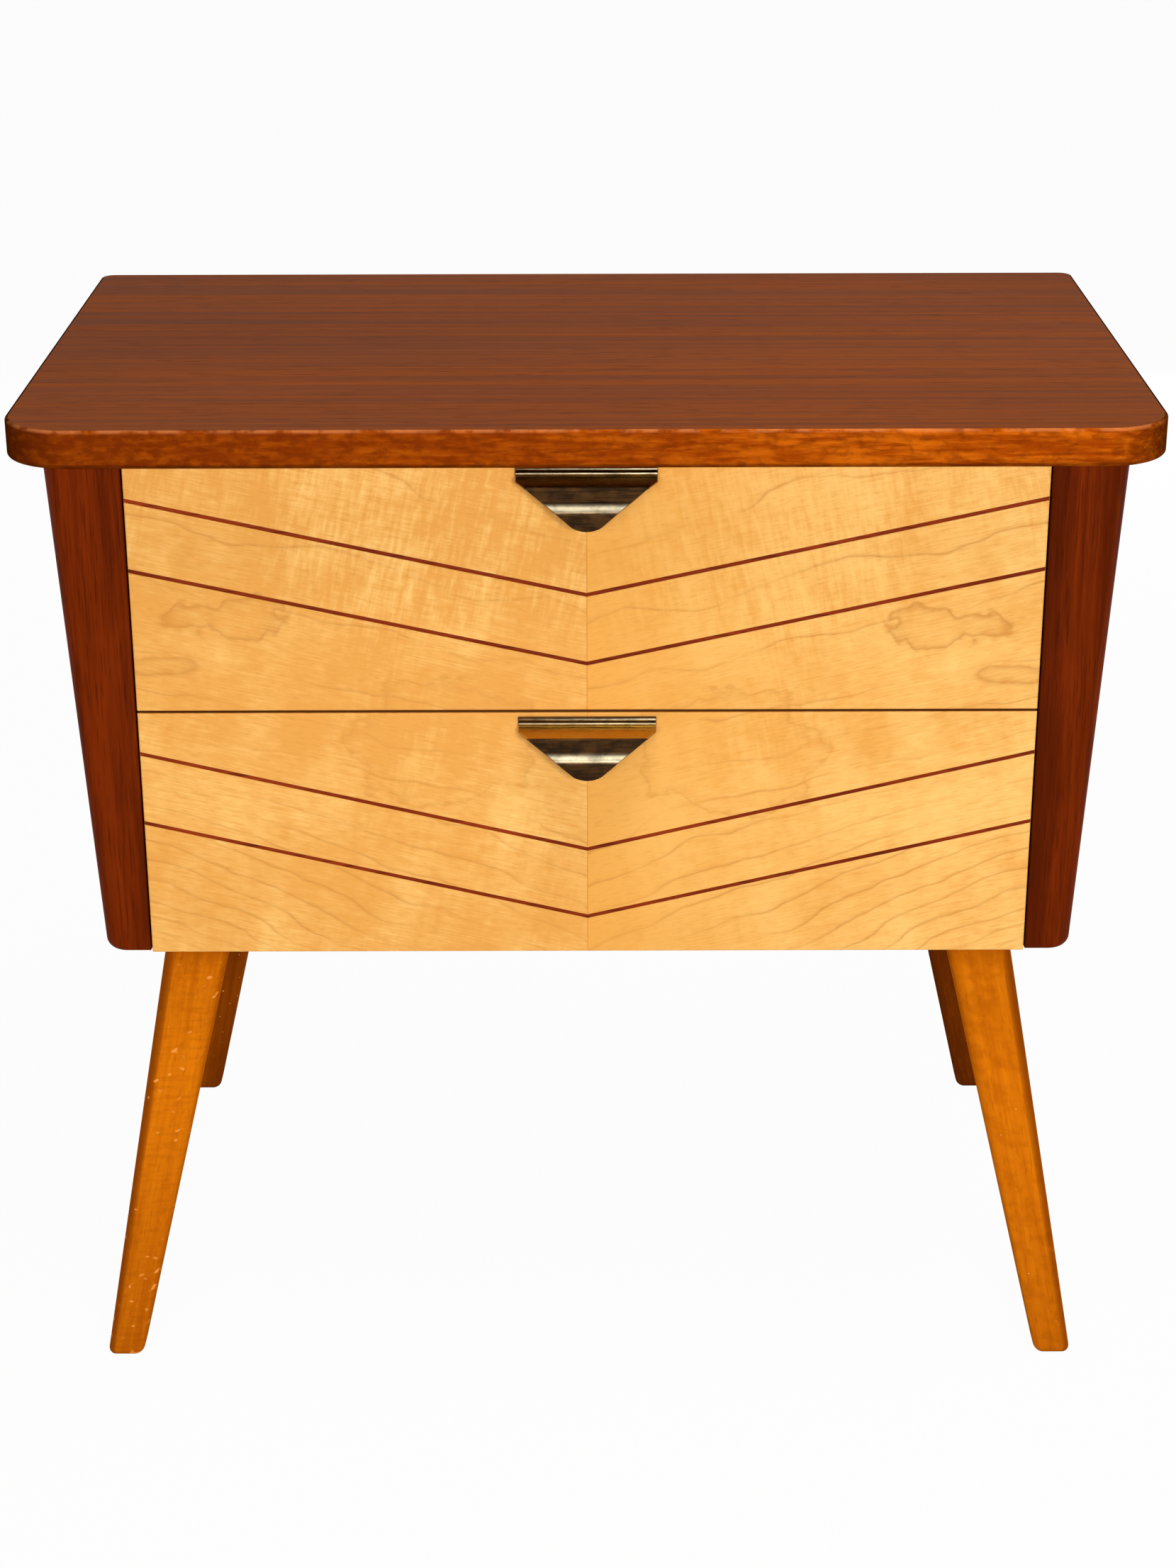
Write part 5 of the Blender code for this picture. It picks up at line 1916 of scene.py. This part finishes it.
@dataclass
class Studio:
    """The camera, the soft lights, and a white floor and surround."""

    lens: float = 67.18
    sensor: float = 36.0
    stand: Triple = (0.0014, -1.6181, 0.9526)
    tilt: float = math.radians(67.737)
    yaw: float = math.radians(0.041)
    roll: float = math.radians(-0.159)
    ambient: float = 0.09
    surround_white: float = 1.0
    floor_half: float = 9.0
    floor_sunk: float = 0.0003
    floor_white: float = 0.97
    floor_level: float = 0.5
    floor_roughness: float = 0.9
    floor_specular: float = 0.1
    lamps: tuple[Lamp, ...] = (
        Lamp("key", (0.50, -1.9, 0.92), (0.0, 0.0, 0.35), (0.4, 0.3), 19.2),
        Lamp("fill", (-0.55, -1.9, 0.86), (0.0, 0.0, 0.35), (0.9, 0.5), 11.2),
        Lamp("overhead", (0.30, -0.38, 1.9), (0.0, 0.0, 0.5), (1.2, 0.5), 18.0),
        Lamp("back", (0.3, 2.2, 0.30), (0.0, 0.0, 0.30), (1.4, 0.45), 24.0),
        Lamp("left", (-2.2, 0.35, 0.30), (0.0, 0.1, 0.30), (1.2, 0.45), 15.0),
        Lamp("right", (2.2, 0.35, 0.30), (0.0, 0.1, 0.30), (1.2, 0.45), 15.0),
    )

    def camera(self) -> None:
        """Sets up the camera: a roll about the view, then the tilt, then the yaw."""
        data = bpy.data.cameras.new("camera")
        data.lens = self.lens
        data.sensor_width = self.sensor
        camera = bpy.data.objects.new("camera", data)
        turn = Matrix.Rotation(self.tilt, 4, "X") @ Matrix.Rotation(self.roll, 4, "Z")
        turn = Matrix.Rotation(self.yaw, 4, "Z") @ turn
        camera.matrix_world = Matrix.Translation(self.stand) @ turn
        bpy.context.scene.collection.objects.link(camera)
        bpy.context.scene.camera = camera

    def whiten(self, tree: bpy.types.NodeTree, lit: bpy.types.Node, white: bpy.types.Node,
               share: float, output: bpy.types.Node) -> None:
        """Shows a white shader where a surface is seen, and lights the scene with another one.

        A ray sees the surface if it comes from the camera, or is mirrored or refracted.

        Args:
            tree: The nodes.
            lit: The shader for all other rays.
            white: The shader for the rays that see the surface.
            share: How much of the white one those rays see.
            output: The node that takes the result.
        """
        path = tree.nodes.new("ShaderNodeLightPath")
        seen = path.outputs["Is Camera Ray"]
        for word in ("Is Glossy Ray", "Is Transmission Ray"):
            either = tree.nodes.new("ShaderNodeMath")
            either.operation = "MAXIMUM"
            tree.links.new(seen, either.inputs[0])
            tree.links.new(path.outputs[word], either.inputs[1])
            seen = either.outputs[0]
        part = tree.nodes.new("ShaderNodeMath")
        part.operation = "MULTIPLY"
        tree.links.new(seen, part.inputs[0])
        part.inputs[1].default_value = share
        mix = tree.nodes.new("ShaderNodeMixShader")
        for socket, node in zip(mix.inputs, (part, lit, white)):
            tree.links.new(node.outputs[0], socket)
        tree.links.new(mix.outputs[0], output.inputs["Surface"])

    def surround(self) -> None:
        """Makes the world: white where it is seen, and a softer level as light."""
        world = bpy.data.worlds.new("surround")
        world.use_nodes = True
        tree = world.node_tree
        light = tree.nodes["Background"]
        light.inputs["Strength"].default_value = self.ambient
        light.inputs["Color"].default_value = WHITE
        white = tree.nodes.new("ShaderNodeBackground")
        white.inputs["Color"].default_value = WHITE
        self.whiten(tree, light, white, self.surround_white, tree.nodes["World Output"])
        bpy.context.scene.world = world

    def paper(self) -> bpy.types.Material:
        """Makes the floor's material: mostly white where it is seen, so that the shadow is soft.

        Returns:
            The material.
        """
        material = bpy.data.materials.new("floor_paper")
        material.use_nodes = True
        tree = material.node_tree
        paper = tree.nodes["Principled BSDF"]
        level = self.floor_level
        paper.inputs["Base Color"].default_value = (level, level, level, 1.0)
        paper.inputs["Roughness"].default_value = self.floor_roughness
        paper.inputs["Specular IOR Level"].default_value = self.floor_specular
        white = tree.nodes.new("ShaderNodeEmission")
        self.whiten(tree, paper, white, self.floor_white, tree.nodes["Material Output"])
        return material

    def floor(self) -> None:
        """Makes the floor: a level square just under the feet."""
        corner = np.array([-1.0, 1.0]) * self.floor_half
        x, y = np.meshgrid(corner, corner, indexing="ij")
        points = np.stack((x, y, np.full_like(x, -self.floor_sunk)), axis=-1).reshape(-1, 3)
        mesh = bpy.data.meshes.new("floor")
        mesh.from_pydata(points.tolist(), [], quads(2, 2, wrap_columns=False)[:, ::-1].tolist())
        mesh.materials.append(self.paper())
        floor = bpy.data.objects.new("floor", mesh)
        bpy.context.scene.collection.objects.link(floor)

    def build(self) -> None:
        """Sets the whole studio up, with colours shown as they are written."""
        self.camera()
        for lamp in self.lamps:
            lamp.build()
        self.surround()
        self.floor()
        bpy.context.scene.view_settings.view_transform = "Standard"


def main() -> None:
    """Builds the pieces in order, dresses the boards that stay, and sets up the studio."""
    logging.basicConfig(level=logging.INFO, format="%(name)s: %(message)s")
    palette = Palette()
    TopBoard().build(palette)
    for side in Side:
        SidePanel(side).build(palette)
    upper = DrawerFront(Drawer.UPPER, string_heights=(0.0265, 0.0650), pitch=math.radians(12.25))
    upper.build(palette)
    # The upper pull's ledge takes less painted reflection: painted shade under the top.
    HoodPull(Drawer.UPPER, ledge_reflection_share=0.4).build(palette)
    lower = DrawerFront(Drawer.LOWER, string_heights=(0.0214, 0.0618), pitch=math.radians(13.2))
    lower.build(palette)
    HoodPull(Drawer.LOWER).build(palette)
    for side in Side:
        for end in End:
            Leg(side, end).build(palette)
        BaseRail(side).build(palette)
    Fastenings().build(palette)
    PlainBoards().dress(palette)
    Studio().build()


if __name__ == "__main__":
    main()
